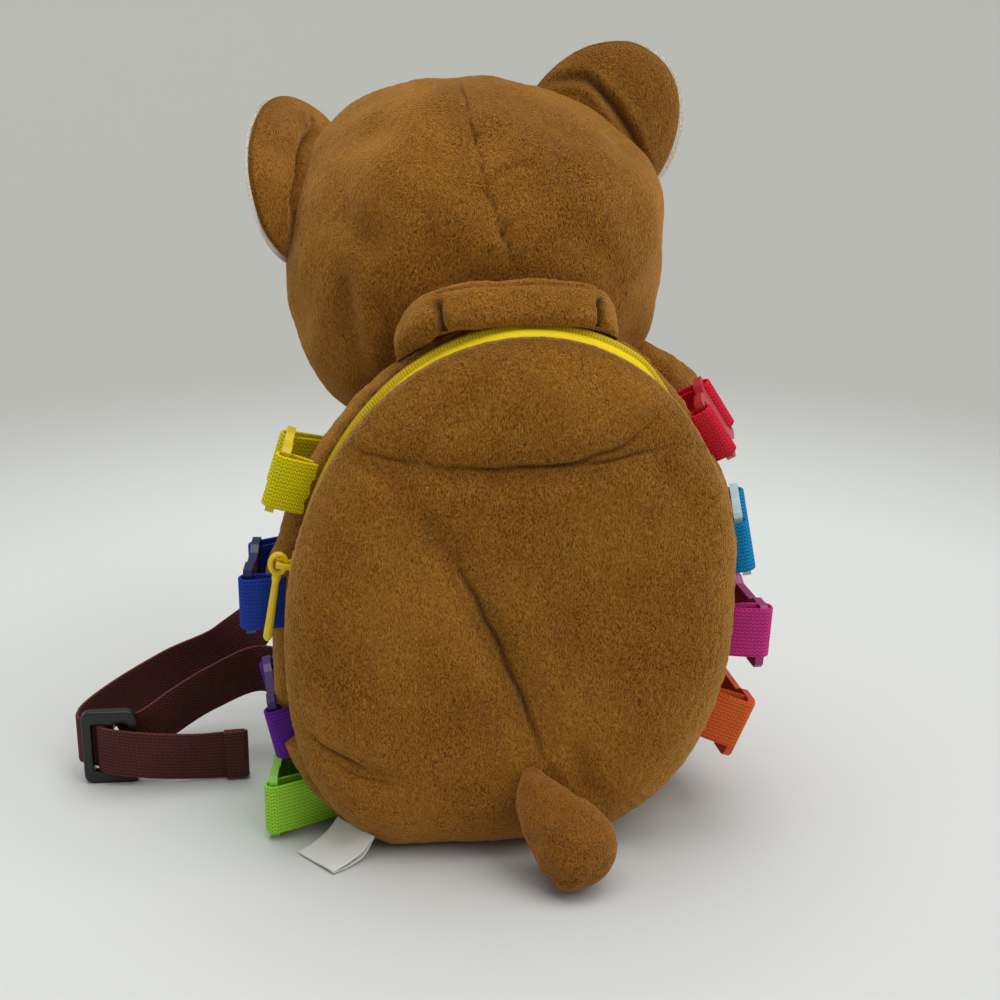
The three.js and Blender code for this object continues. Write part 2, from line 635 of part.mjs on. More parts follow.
/* One fastened buckle: its loop at the back seam, the closed plastic, and its tab at the front seam. */
function addBuckle(group, row, plug) {
  const angle = degToRad(row.angle);
  const aim = degToRad(row.aim);
  const outward = new THREE.Vector3(cos(aim), 0, sin(aim));
  const across = new THREE.Vector3(-sin(aim), 0, cos(aim));
  const swing = degToRad(row.back);
  const flap = outward.clone().multiplyScalar(cos(swing)).setY(-sin(swing));
  const seat = gussetPoint(angle, LOOP_Y - BACK_SEAM_Y, 0);
  const root = seat.clone().addScaledVector(flap, LOOP_ROOT);
  const backBar = seat.clone().addScaledVector(flap, row.reach);
  const frontSeam = gussetPoint(angle, gussetDepth(angle), 0);
  const level = frontSeam.clone().sub(seat).dot(outward);
  const frontY = Math.min(frontSeam.y - TAB_SLANT, backBar.y + BUCKLE.longest);
  const frontBar = seat.clone().addScaledVector(outward, max(level, TAB_DROP) + row.tab).setY(frontY);
  const tabRoot = seat.clone().addScaledVector(outward, level + TAB_ROOT).setY(frontSeam.y);
  const loopWeb = finish(row.web, 0.8);
  addPiece(group, `loop_${row.name}`, carve(webbingLoop(root, backBar, across), plug), loopWeb);
  addPiece(group, `buckle_${row.name}`, buckleBody(backBar, frontBar, across), finish(row.plastic, 0.35));
  addPiece(group, `tab_${row.name}`, carve(webbingLoop(tabRoot, frontBar, across), plug), loopWeb);
}

/* Slider on the teeth, with a bail across it for the pull. Its frame has X outward and Y along the zip. */
function sliderFrame() {
  const seat = zipPoint(SLIDER_ANGLE, SLIDER_ALONG, ZIP_PROFILE[3].inset);
  const above = zipPoint(SLIDER_ANGLE - degToRad(1), SLIDER_ALONG, ZIP_PROFILE[3].inset);
  const along = above.sub(seat).setY(0).normalize();
  const across = new THREE.Vector3(0, 1, 0);
  const out = along.clone().cross(across);
  seat.addScaledVector(out, 2 * GAP);
  return new THREE.Matrix4().makeBasis(out, along, across).setPosition(seat);
}

function sliderBody() {
  const { out, across, along } = SLIDER_BODY;
  const block = new THREE.BoxGeometry(out, along, across).translate(out / 2, 0, 0);
  const half = BAIL.inside + BAIL.post;
  const arch = new THREE.Shape();
  arch.moveTo(out / 2, -half);
  arch.lineTo(BAIL.reach, -half);
  arch.lineTo(BAIL.reach, half);
  arch.lineTo(out / 2, half);
  arch.holes.push(slotPath(BAIL.foot, BAIL.reach - BAIL.bar, BAIL.inside));
  const bail = new THREE.ExtrudeGeometry(arch, { depth: BAIL.thick, bevelEnabled: false });
  bail.translate(0, 0, -BAIL.thick / 2).rotateX(PI / 2);
  return toGeometry(toSolid(block).add(toSolid(bail)));
}

/* Moulded pull: a ring and a slim stick, drawn in its own plane with the ring at the origin. */
function pullShape() {
  const half = PULL.stick / 2;
  const neck = Math.acos(half / PULL.ring);
  const outline = new THREE.Shape();
  outline.moveTo(half, -PULL.length);
  outline.lineTo(half, -PULL.ring * sin(neck));
  outline.absarc(0, 0, PULL.ring, -neck, PI + neck);
  outline.lineTo(-half, -PULL.length);
  outline.holes.push(new THREE.Path().absarc(0, 0, PULL.hole, 0, 2 * PI));
  const geometry = new THREE.ExtrudeGeometry(outline, {
    depth: PULL.thick, bevelEnabled: false, curveSegments: PULL.segments,
  });
  return geometry.translate(0, 0, -PULL.thick / 2).rotateX(PI / 2);
}

/* Ladder lock: a rounded plate with two slots, standing on its side. */
function ladderLock() {
  const { long, high, thick, slot, slotHigh, bar, round, segments } = LOCK;
  const x = long / 2;
  const z = high / 2;
  const outline = new THREE.Shape();
  outline.moveTo(-x + round, -z);
  outline.absarc(x - round, -z + round, round, -PI / 2, 0);
  outline.absarc(x - round, z - round, round, 0, PI / 2);
  outline.absarc(-x + round, z - round, round, PI / 2, PI);
  outline.absarc(-x + round, -z + round, round, PI, 1.5 * PI);
  outline.holes.push(slotPath(-bar / 2 - slot, -bar / 2, slotHigh / 2));
  outline.holes.push(slotPath(bar / 2, bar / 2 + slot, slotHigh / 2));
  const geometry = new THREE.ExtrudeGeometry(outline, {
    depth: thick, bevelEnabled: false, curveSegments: segments,
  });
  return geometry.translate(0, 0, -thick / 2).rotateX(PI / 2);
}

// Bag and its pouch
const bag = new THREE.Group();
const plug = pouchPlug(GAP);
addPiece(bag, 'back_panel', panelShell(backPoint, BACK_SHARES), plush);
addPiece(bag, 'gusset', gussetShell(), plush);
addPiece(bag, 'belly_panel', panelShell(bellyPoint, BELLY_SHARES), plush);
addPiece(bag, 'zip_tape', zipBand(), zipYellow);

// Head with its ears and face, in the head's own frame
const headGroup = new THREE.Group();
headGroup.position.set(...HEAD.at);
headGroup.rotation.y = HEAD_ROLL;
headGroup.updateMatrix();
bag.add(headGroup);
const intoHead = headGroup.matrix.clone().invert();
const headSeat = headForm(GAP);
addPiece(headGroup, 'head', carve(headForm(0), moved(plug, intoHead)), plush);
for (const row of EARS) {
  const frame = earFrame(row);
  const ear = earDisc(row.chord, EAR.height, EAR.front, EAR.back, 0);
  const { inset, thick } = LINING;
  const lining = earDisc(row.chord - inset, EAR.height - inset, thick, 0, EAR.front + GAP);
  addPiece(headGroup, `ear_${row.name}`, carve(moved(ear, frame), headSeat), plush);
  addPiece(headGroup, `ear_lining_${row.name}`, carve(moved(lining, frame), headSeat), cream);
  const eye = softBall(EYE).translate(row.side * EYE.at[0], EYE.at[1], EYE.at[2]);
  addPiece(headGroup, `eye_${row.name}`, carve(eye, headSeat), faceDark);
}
const muzzle = softBall(MUZZLE).translate(...MUZZLE.at);
const muzzleSeat = softBall(MUZZLE, GAP).translate(...MUZZLE.at);
const nose = softBall(NOSE).translate(...NOSE.at);
addPiece(headGroup, 'muzzle', carve(muzzle, headSeat), cream);
addPiece(headGroup, 'nose', carve(nose, muzzleSeat), faceDark);

// Arms, tail and handle, seated on the pouch and the head
const headInBag = moved(headSeat, headGroup.matrix);
const toSide = new THREE.Vector3(1, 0, 0);
addPiece(bag, 'arm_left', carve(limb(ARM_LEFT, toSide), plug, headInBag), plush);
addPiece(bag, 'arm_right', carve(limb(ARM_RIGHT, new THREE.Vector3(0, 1, 0)), plug, headInBag), plush);
addPiece(bag, 'tail', carve(limb(TAIL, toSide), plug), tailPlush);
addPiece(bag, 'handle', carve(handleBand(), plug, headInBag), plush);

// Fastened buckles with their webbing
BUCKLES.forEach((row) => addBuckle(bag, row, plug));

// Zip slider and its pull, which swings on the bail
const slider = sliderFrame();
const sliderMesh = addPiece(bag, 'zip_slider', sliderBody(), zipYellow);
sliderMesh.applyMatrix4(slider);
const pullGroup = new THREE.Group();
pullGroup.position.set(BAIL.reach - BAIL.bar / 2, 0, 0).applyMatrix4(slider);
pullGroup.rotation.y = PULL.lean;
bag.add(pullGroup);
addPiece(pullGroup, 'zip_pull', pullShape(), zipYellow);

// Shoulder straps with their ladder locks
for (const [side, strap] of Object.entries(STRAPS)) {
  const upperSteps = STRAP_STEPS_PER_ROW * (strap.upper.length - 1);
  const lowerSteps = STRAP_STEPS_PER_ROW * (strap.lower.length - 1);
  addPiece(bag, `strap_${side}`, ribbon(strap.upper, WEB_WIDTH, WEB_THICK, upperSteps), strapBrown);
  addPiece(bag, `strap_base_${side}`, ribbon(strap.lower, WEB_WIDTH, WEB_THICK, lowerSteps), strapBrown);
  const lock = addPiece(bag, `ladder_lock_${side}`, ladderLock(), lockBlack);
  lock.position.set(...strap.lock);
}

// Blank label
addPiece(bag, 'care_label', carve(ribbon(LABEL, LABEL_WIDTH, LABEL_THICK, LABEL_STEPS), plug), labelWhite);

export default bag;
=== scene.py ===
"""Plush bear backpack seen from behind: its cloth, webbing, zip and plastic, built in millimetres."""

import math

import bpy
import numpy as np
from mathutils import Matrix


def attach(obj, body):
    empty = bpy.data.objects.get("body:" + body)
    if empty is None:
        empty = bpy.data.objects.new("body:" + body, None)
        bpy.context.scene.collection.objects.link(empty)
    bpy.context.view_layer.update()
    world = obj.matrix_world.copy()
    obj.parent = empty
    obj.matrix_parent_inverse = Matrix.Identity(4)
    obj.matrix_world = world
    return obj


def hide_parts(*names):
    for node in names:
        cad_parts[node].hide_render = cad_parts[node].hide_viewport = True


bl_info = {
    "name": "Plush bear backpack",
    "version": (1, 0, 0),
    "blender": (4, 5, 0),
    "location": "3D View > Sidebar > Bear",
    "description": "Builds the soft pieces, webbing, zip and finishes of a plush bear backpack",
    "category": "Object",
}

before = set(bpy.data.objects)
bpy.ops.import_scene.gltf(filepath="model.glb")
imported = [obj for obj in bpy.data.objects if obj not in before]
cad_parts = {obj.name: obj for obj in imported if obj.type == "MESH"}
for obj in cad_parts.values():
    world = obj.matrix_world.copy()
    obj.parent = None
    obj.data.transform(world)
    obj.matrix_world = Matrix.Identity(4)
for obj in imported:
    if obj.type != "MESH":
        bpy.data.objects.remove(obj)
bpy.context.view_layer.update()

# Scale and clearances
MM = 0.001
GAP = 0.4
CLOTH = 3.0
LINING_SLACK = 6.0
WEB_WIDTH = 25.0
WEB_THICK = 1.6
FLOOR_GAP = 0.15

# Cloth: uneven tips of the pile as (height, length) of waves, gathers at seams, the way creases run, and the
# painted shade in creases and at seams
PILE_WAVES = ((0.6, 2.6), (0.55, 5.5))
GATHERS = (64, 103)
GATHER_SHARE = 0.6
GATHER_WANDER = ((3, 70),)
GATHER_REACH = 7.0
CREASE_WAVER = ((0.6, 26),)
CREASE_LIPS = (0.3, 2.0, 0.8)
CREASE_STEPS = 6
CREASE_DARK = (3.6, 0.9, 1.4)
SEAM_DARK = 0.9

# Pouch: rings sewn at the back seam and at the front seam (centre, half width, widest height, top)
BACK_SEAM_Y = -46.0
BACK_RING = (4.0, 103.0, 112.0, 244.0)
FRONT_RING = (3.0, 96.0, 104.0, 206.0)
SINK = 6.0
UPPER_POWER = 2.05
LOWER_POWER = (2.65, 2.42)
LEAN = 0.02
TILT = 0.06
DEPTH_LOW = 92.0
DEPTH_TOP = 58.0
GUSSET_SWELL = 8.0
SWELL_POWER = 0.7
BACK_CROWN = (30.0, 18.0)
BELLY_CROWN = (22.0, 26.0)
RIM_POWER = 4
BELLY_SEAM_POWER = 12
POUCH_GRID = (160, 24, 22)

# Panels and side wall: grids, waves of the swell, hold at the seams and reach of the painted shade at the
# seams
BACK_GRID = (620, 140)
BELLY_GRID = (360, 70)
PANEL_RINGS = (0.02, 0.9)
PANEL_INSIDE = (1.0, 0.9, 0.6, 0.3)
PANEL_HOLD = 6
PANEL_REACH = 100.0
PANEL_SWELL = ((1.3, 95), (0.5, 38))
PANEL_SEAM = 1.6
PANEL_FILL = 0.7
BACK_SEED = 21
BELLY_SEED = 41
WALL_GRID = (480, 56)
WALL_INSIDE = 5
WALL_ROLL = (2.0, 2.2)
WALL_HOLD = 4.0
WALL_FULL = (1.5, 2.5)
WALL_SWELL = ((1.2, 70), (0.6, 26))
WALL_SEAM = 1.5
WALL_SEED = 31

# Creases of the back panel: path in (x, z), depth and half width
PANEL_CREASES = (
    (((-88, 203), (-40, 193), (0, 189), (40, 194), (78, 212)), 1.9, 7.0),
    (((-79, 201), (-58, 197), (-38, 192)), 1.5, 1.0),
    (((-38, 192), (-3, 190), (22, 191), (48, 198), (69, 210)), 1.5, 1.1),
    (((18, 190), (48, 193), (82, 200)), 1.3, 1.0),
    (((-72, 199), (-46, 179), (-28, 156)), 1.0, 5.0),
    (((-36, 174), (-16, 137), (-1, 103), (10, 73), (17, 50)), 2.2, 7.5),
    (((-22, 150), (-12, 127), (-1, 103), (10, 73), (18, 47)), 1.5, 1.7),
    (((-97, 68), (-81, 57), (-62, 49), (-46, 45)), 1.8, 6.0),
    (((-93, 66), (-81, 57), (-64, 50)), 1.5, 1.1),
    (((-82, 51), (-66, 45), (-52, 43)), 1.2, 1.1),
    (((28, 64), (36, 42), (47, 22)), 1.2, 5.0),
    (((46, 197), (70, 186), (86, 166)), 0.9, 7.0),
)

# Zip along the back seam, in degrees round the ring: its ribbed coil, its tapes, how deep it lies, and
# painted shade over the coil, in its furrows, beside it and on the tape beyond it
ZIP_FROM = 30.0
ZIP_TO = 202.5
ZIP_WIDTH = 15.0
ZIP_RECESS = 5.5
ZIP_TUCK = 5.0
COIL_MIDDLE = 7.5
COIL_SHIFT = 2.0
COIL_HALF = 2.3
COIL_PITCH = 1.5
COIL_RIB = (0.55, 0.8)
COIL_ARCH = (0.1, 2.2, 2.6)
COIL_TOP = (0.0, 0.8)
COIL_DARK = (0.25, 0.4)
COIL_GAP = (0.8, 0.5, 0.5)
TAPE_LEVELS = ((2.4, 3.0, 3.6, 7.5), (2.6, 2.2, 1.5, 0.5))
TAPE_BACK = 3.6
TAPE_DARK = 0.45
ZIP_GRID = (1350, 46)
ZIP_SHOULDER = (0.5, 0.75)
ZIP_FADE = (12.0, 16.0)
ZIP_FADE_REACH = 9.0

# Moulded pull on the slider's bail
PULL_AT = (-100.602, -38.5, 139.483)
PULL_LEAN = math.radians(10)
PULL_RING = (3.5, 4.6)
PULL_RAISE = -0.2
PULL_WIRE = 1.2
PULL_GRID = (64, 20, 80)
PULL_HIGH = 1.25
PULL_FLAT = 0.85
PULL_STICK = (
    (-4.2, 1.5), (-5.6, 2.0), (-7.4, 2.0), (-9.2, 1.65), (-12, 1.65), (-24, 1.85), (-33, 2.0), (-38.6, 2.0),
)

# Head, rolled a little to the left: cheeks, crown and swell, then the stitched seam down its back
HEAD_AT = (-6.0, 55.0, 257.0)
HEAD_RADII = (88.0, 73.0, 83.0)
HEAD_POWER = 2.25
HEAD_ROLL = math.radians(-10)
CHEEKS = ((0.07, -45.0, 35.0), (0.1, 24.0, 24.0))
CHEEK_FRONT = (25, 55)
CROWN_LUMPS = ((-12, 30, 3.4), (45, 16, -2.5))
CROWN_SPAN = (35, 78)
HEAD_GRID = (150, 320)
CORE_GRID = (60, 120)
HEAD_SWELL = ((1.8, 80), (0.9, 36))
HEAD_CALM = (0.8, 10, 45)
HEAD_BEHIND = (5, 30)
HEAD_FILL = 0.9
HEAD_SEED = 11
HEAD_SEAM = (
    (90, 9), (80, 9.2), (65, 10.7), (50, 11.2), (40, 11.1), (28, 13.2), (16, 14.9), (0, 15.8), (-90, 17),
)
SEAM_WAVER = ((0.7, 14),)
SEAM_WIDE = (0.6, 7.0)
SEAM_NARROW = (1.2, 0.8)
STITCHES = (0.75, 0.35, 1.1)
STITCH_WAVER = ((0.4, 22),)
STITCH_RANGE = (0.15, 1.2)
SEAM_NICK = (2.6, 0, 3.2, 24, 4)
SEAM_BULGE = (1.6, -5.5, 4, 21, 5)
# Painted shade in the seam's stitches, its pucker and the folds
HEAD_DARK = (0.8, 0.05, 0.16)
HEAD_FOLDS = (
    (((-57, 26), (-61, -6), (-60, -40)), 2.3, 5.0),
    (((-44, 6), (-46, -20), (-52, -46)), 1.6, 4.5),
    (((-70, 6), (-71, -14), (-70, -34)), 1.5, 5.0),
    (((-58, 46), (-48, 36), (-38, 24)), 2.0, 7.0),
    (((52, 16), (60, -2), (66, -20)), 1.0, 7.0),
    (((26, 60), (38, 53), (50, 44)), 0.8, 8.0),
    (((12, 46), (24, 50), (34, 48)), 0.8, 1.6),
    (((14, 26), (24, 30), (32, 30)), 0.7, 1.4),
)

# Ears: side, place in the head, lean, fold, half chord, tuck, shift of the lining and painted shade over the
# whole ear
TUCK_LEFT = (((-24, -16), (-18, -5), (-16, 5), (-11, 16), (-2, 23), (8, 27), (26, 30)), 3.4, 2.0)
TUCK_RIGHT = (((-32, -3), (-16, 4.5), (-4, 9.5), (7, 13.5), (19, 15), (29, 10.5), (37, 3)), 3.2, 2.7)
EAR_HEIGHT = 45.0
EAR_CHORD = 34.0
EAR_BACK = 8.0
EAR_FRONT = 0.2
EAR_CUP = 7.0
EARS = (
    ("left", -1, (-69, 4, 52), math.radians(92), math.radians(-67), 38.0, TUCK_LEFT, (0.7, 0.9), 0.08),
    ("right", 1, (71, 0, 46.5), math.radians(47), math.radians(8), 36.5, TUCK_RIGHT, (-1.5, 0.5), 0.34),
)
EAR_GRID = (200, 44)
EAR_SWELL = ((0.6, 30),)
EAR_RIM = ((0.006, 28),)
# Painted shade: along the rim (share where it starts, darkness) and in the tucks (depth of the darkest, most
# darkness)
EAR_EDGE = (0.985, 0.5)
EAR_DARK = (3.4, 0.8)
EAR_HOLD = 1.2
EAR_FILL = 0.5
EAR_SEED = 61
LINING_SEED = 65
LINING_FILL = 0.4
LINING_THICK = 3.5
LINING_SPILL = 0.9

# Plain face
MUZZLE = ((0, 64, -24), (38, 24, 28), 2.1)
MUZZLE_SWELL = ((0.6, 30),)
MUZZLE_FILL = 0.8
MUZZLE_SEED = 71
NOSE = ((0, 86, -12), (11, 7, 8), 2.3)
NOSE_WIDENING = 0.2
EYE = ((33, 67, 14), (6.5, 5.5, 6.5), 2)
BUTTON_GRID = (30, 48)

# Limbs: centre line with half width and half height; then direction across, slot and seed of each
ARM_RIGHT = (
    (52, 40, 212, 9, 9), (76, 37, 203, 13.5, 13.5), (93, 43, 189, 13, 13),
    (96, 62, 168, 14, 14), (88, 82, 148, 13, 13), (84, 92, 138, 12, 12),
)
ARM_LEFT = (
    (-40, 45, 182, 9, 9), (-56, 56, 170, 14, 14), (-68, 70, 153, 14, 14),
    (-70, 88, 132, 14, 14), (-66, 102, 112, 13, 13), (-63, 109, 101, 12, 12),
)
TAIL = (
    (9, -60, 50, 3, 3), (11, -71, 46, 4.5, 4.5), (13.5, -79, 39.5, 10, 8.5), (18, -86, 32, 15, 12.5),
    (24.5, -91.5, 24.5, 18.3, 15), (31.5, -96.5, 18, 18.8, 14.5), (38, -100.5, 13.5, 18, 13),
    (42, -103.5, 11, 16.5, 12),
)
LIMBS = (
    ("arm_left", ARM_LEFT, (1, 0, 0), "plush", 81), ("arm_right", ARM_RIGHT, (0, 1, 0), "plush", 84),
    ("tail", TAIL, (1, 0, 0), "tail_plush", 87),
)
LIMB_GRID = (110, 96)
LIMB_SWELL = ((0.7, 34), (0.35, 14))
# Seam of the limbs: angle round, width, depth and its painted shade
LIMB_SEAM = (4.4, 0.07, 0.9, 0.6)
LIMB_TIP = 0.995
LIMB_FLOOR = 0.2
LIMB_FILL = 0.7

# Handle: centre line, lean of the face in degrees, width and thickness; then its sunk face, its groove and
# the painted shade in the groove
HANDLE = (
    (-35, -20, 222, 5, 20, 17), (-37, -20, 237, 14, 20, 17), (-32, -27, 248, 34, 21, 14),
    (-22, -32, 253.5, 48, 21, 11), (4, -33, 255.5, 50, 21, 10.5), (33, -32, 254.5, 48, 21, 11),
    (45, -27, 250, 34, 21, 11), (49, -20, 240, 14, 20, 10.5), (47, -19, 224, 5, 20, 10.5),
)
HANDLE_GRID = (260, 120)
HANDLE_POWERS = (0.75, 0.7)
HANDLE_FACE = (8.5, 33.0, 6.6)
HANDLE_FRONT = (0.5, 2.0)
HANDLE_ENDS = (8.0, 1.0)
HANDLE_CORNER = 0.9
HANDLE_UPPER = (4.0, 5.0)
HANDLE_GROOVE = (4.0, 1.3, 0.22)
# Painted shade in the groove
HANDLE_DARK = 1.3
HANDLE_SWELL = ((0.45, 34), (0.15, 12))
HANDLE_FILL = 0.6
HANDLE_SEED = 51

# Fastened buckles: ring angle, flap direction, its swing to the back in degrees, and reaches
BUCKLES = (
    ("yellow", 151, 162, 0, 10.5, 13), ("blue", 175, 180, 0, 12, 13), ("purple", 201, 192, 0, 5, 13),
    ("green", 224.8, 180, 24, 29, 27), ("red", 33, 32, 0, 3.2, 13), ("teal", 8, 11, 0, 3.2, 13),
    ("magenta", -8, -3, 0, 15, 13), ("orange", -29, -22, 0, 18, 13),
)
LOOP_Y = -27.0
SEWN_IN = 5.0
TAB_SLANT = 13.0
TAB_DROP = -4.0
BUCKLE_LONGEST = 54.0
LOOP_ROUND = 3.7

# Shoulder straps: centre line and how the webbing leans in x and y, upright where no lean is given
STRAPS = {
    "strap_left": (
        (-86, 21, 130, 0.2, 0.3), (-93, 32, 126, 0.2, 0.4), (-102, 60, 106, 0.3, 0.4),
        (-112, 84, 64, 0.2, 0.3), (-134, 91, 42, 0, 0.1), (-164, 79, 34), (-192, 57, 26), (-206, 42, 20),
        (-206.5, 33, 19.6), (-201, 28.6, 19.5), (-195.8, 26, 19.5), (-195.2, 22, 19.4), (-190, 18.9, 19),
        (-172, 17.6, 16.5), (-148, 21, 13.2), (-124, 23, 13, 0, 0.12),
    ),
    "strap_base_left": (
        (-80, 40, 29, 0, 0.2), (-88, 49, 30, 0, 0.2), (-99, 60, 35, 0, 0.2), (-116, 67, 39, 0, 0.1),
        (-140, 55, 35), (-158, 41, 30), (-172, 30.5, 24), (-183, 27.4, 19.5),
    ),
    "strap_right": (
        (91, 19, 126, -0.2, 0.3), (99, 30, 123, -0.2, 0.4), (110, 62, 104, -0.3, 0.4),
        (108, 100, 72, -0.2, 0.2), (95, 130, 48), (70, 148, 31), (46, 154, 22), (29, 151, 19.8),
        (22.6, 144, 19.6), (28, 138.6, 19.5), (33.2, 136, 19.5), (33.8, 132, 19.4), (39, 128.9, 19),
        (56, 124, 16.5), (72, 114, 13.2), (84, 98, 13, 0, 0.12),
    ),
    "strap_base_right": (
        (70, 40, 24, 0, 0.2), (75, 52, 22, 0, 0.2), (80, 70, 20, 0, 0.2), (92, 84, 19), (98, 104, 19),
        (84, 126, 19.5), (60, 137.6, 19.5), (47, 137.4, 19.5),
    ),
}
STRAP_STEPS = 26
HEM_LENGTH = 10.0
HEM_POINTS = 60
HEM_LIFT = 0.15
HEM_NARROWER = 0.4
HEM_ROUND = 0.9
WEB_FLATS = 15
LOOP_POINTS = (24, 30, 90)
LOOP_ROOT = (0.9, 0.8)
LOOP_BOW = 0.5
LOCK_FULLER = 0.9
LOCK_GRAIN = 0.6
LOCK_SOFTER = (0.5, 6)
WELD_REACH = 0.00001
EDGE_ANGLE = math.radians(28)
EDGE_STEPS = 3

# Blank label: centre line and the direction across it
LABEL = (
    (-69, -50.2, 10, 0.62, -0.5, 0.2), (-74, -55, 3.8, 0.62, -0.7, 0.1),
    (-80, -60, 1.5, 0.62, -0.76, 0), (-88, -66, 1.2, 0.62, -0.76, 0),
)
LABEL_WIDTH = 26.0
LABEL_THICK = 0.3
LABEL_GRID = (40, 80, 27)
LABEL_RISE = (0.5, 1.6)
LABEL_LIE = 0.35
LABEL_TIP = 0.5
LABEL_WAVES = ((0.25, 16),)
LABEL_SEED = 91

# Camera and stage
CAMERA_TURN = math.radians(-5)
CAMERA_RISE = math.radians(20)
CAMERA_DISTANCE = 850.0
CAMERA_TARGET = (0.0, -34.0, 165.0)
CAMERA_LENS = 67.68
STAGE_FLAT = 6000.0
STAGE_BEND = 2500.0
STAGE_WALL = 5000.0
STAGE_MIDDLE = 10.0
STAGE_GRID = (16, 96)
LIGHTS = (
    ("key", (1.0, -0.6, 1.3), 55, 1.45),
    ("top", (0.0, 0.25, 1.5), 60, 2.1),
    ("fill", (-1.3, -0.3, 0.7), 40, 0.35),
)
WORLD_LIGHT = 0.22
SENSOR = 36.0
FARTHEST = 100.0

# Finishes: noises in cells a metre, sway and stretch of the pile, and reliefs as (height in metres, strength)
PILE_SHEEN = (0.05, 2.3)
PILE_SWAY = (70.0, 0.007)
PILE_STRETCH = (1.0, 1.0, 0.42)
PILE_CELLS = (1750.0, 420.0, 15.0)
# Painted shade of the pile: the most darkness the layer gives, and the share of the shade colour it darkens
# to
PILE_PAINTED_SHADE = (0.8, 0.35)
PILE_RELIEF = (0.0009, 1.0)
WEB_START = 100.0
WEB_CELLS = (1400.0, 60.0)
# Paler line along the webbing's edges, frayed fibres and painted highlight: its inset from the edge where it
# starts and where it is full
WEB_FRAYED_LIT_EDGE = (0.8, 0.4)
WEB_RELIEF = (0.0006, 0.8)
PLASTIC_CELLS = (90.0, 1500.0)
PLASTIC_RELIEF = (0.00015, 0.35)
THREAD_START = 50.0
ZIP_CELLS = 1200.0
ZIP_THREADS = (0.35, 0.45)
ZIP_RELIEF = (0.00025, 0.6)
LABEL_CELLS = 120.0
LABEL_THREADS = (0.2, 0.3)
LABEL_RELIEF = (0.0001, 0.5)
PAPER_CELLS = 300.0
# Painted shade of the far floor: distances in metres where the floor starts and ends turning grey
PAPER_FADE = (0.36, 0.8)


# Numbers and fields

def lerp(low, high, share):
    return low + (high - low) * share


def smoothstep(value, low, high):
    share = np.clip((value - low) / (high - low), 0, 1)
    return share * share * (3 - 2 * share)


def bell(value, reach):
    return np.exp(-(value / reach) ** 2)


def bent(value, power):
    """Power of a value that keeps its sign."""
    return np.sign(value) * np.abs(value) ** power


def turns(count):
    """Angles once round, without the last that meets the first."""
    return np.linspace(0, 2 * math.pi, count, endpoint=False)


def triple(x, y, z):
    return np.stack(np.broadcast_arrays(x, y, z), -1)


def run_length(points):
    """Distance along a polyline at each of its points."""
    return np.concatenate([[0], np.cumsum(np.linalg.norm(np.diff(points, axis=0), axis=1))])


def ripple(points, length, seed, waves=16):
    """Smooth irregular field of about one unit: the sum of plane waves of about one length, any direction."""
    rng = np.random.default_rng(seed)
    ways = rng.normal(size=(waves, points.shape[-1]))
    ways /= np.linalg.norm(ways, axis=1, keepdims=True)
    ways *= rng.uniform(0.7, 1.5, (waves, 1)) * 2 * math.pi / length
    phases = rng.uniform(0, 2 * math.pi, waves)
    return np.sin(points @ ways.T + phases).sum(-1) / math.sqrt(waves)


def swelling(points, rows, seed):
    """Ripples added together: each row gives a height and a length, and each row takes the next seed."""
    return sum(height * ripple(points, length, seed + k) for k, (height, length) in enumerate(rows))


def creases(across, up, rows):
    """Depth of valleys over a plane: a Gaussian trough with low lips along each path, fading at its ends."""
    depth = np.zeros_like(across)
    spots = np.stack([across, up], -1)
    spots = spots + np.stack([swelling(spots, CREASE_WAVER, seed) for seed in (1, 2)], -1)
    lip, lip_at, lip_reach = CREASE_LIPS
    for path, deep, reach in rows:
        line = smooth_path([(*point, 0) for point in path], CREASE_STEPS * len(path))[:, :2]
        best = np.full(across.shape, np.inf)
        share = np.zeros_like(across)
        for k, (start, run) in enumerate(zip(line, np.diff(line, axis=0))):
            along = np.clip(((spots - start) @ run) / (run @ run), 0, 1)
            gap = np.linalg.norm(spots - start - along[..., None] * run, axis=-1)
            share = np.where(gap < best, (k + along) / (len(line) - 1), share)
            best = np.minimum(best, gap)
        offset = best / reach
        trough = bell(offset, 1) - lip * bell(offset - lip_at, lip_reach)
        depth += deep * np.sqrt(np.clip(4 * share * (1 - share), 0, 1)) * trough
    return depth


def smooth_path(rows, count):
    """Centripetal Catmull-Rom curve through the first three columns of rows; the others follow its spans."""
    table = np.array(rows, float)
    table = np.vstack([2 * table[0] - table[1], table, 2 * table[-1] - table[-2]])
    steps = np.sqrt(np.linalg.norm(np.diff(table[:, :3], axis=0), axis=1))
    along = np.linspace(0, len(rows) - 1, count)
    span = np.minimum(along.astype(int), len(rows) - 2)
    t = (along - span)[:, None]
    p0, p1, p2, p3 = (table[span + k] for k in range(4))
    d0, d1, d2 = (steps[span + k][:, None] for k in range(3))
    t1 = ((p1 - p0) / d0 - (p2 - p0) / (d0 + d1) + (p2 - p1) / d1) * d1
    t2 = ((p2 - p1) / d1 - (p3 - p1) / (d1 + d2) + (p3 - p2) / d2) * d1
    cubic = (2 * p1 - 2 * p2 + t1 + t2) * t + (-3 * p1 + 3 * p2 - 2 * t1 - t2)
    return (cubic * t + t1) * t + p1


def unit(vectors):
    return vectors / np.linalg.norm(vectors, axis=-1, keepdims=True)


def path_frame(centre, sideways):
    """Tangents of a path, the sideways directions squared to them, and the third directions."""
    along = unit(np.gradient(centre, axis=0))
    side = sideways - along * (sideways * along).sum(-1, keepdims=True)
    side = unit(side)
    return along, side, np.cross(along, side)


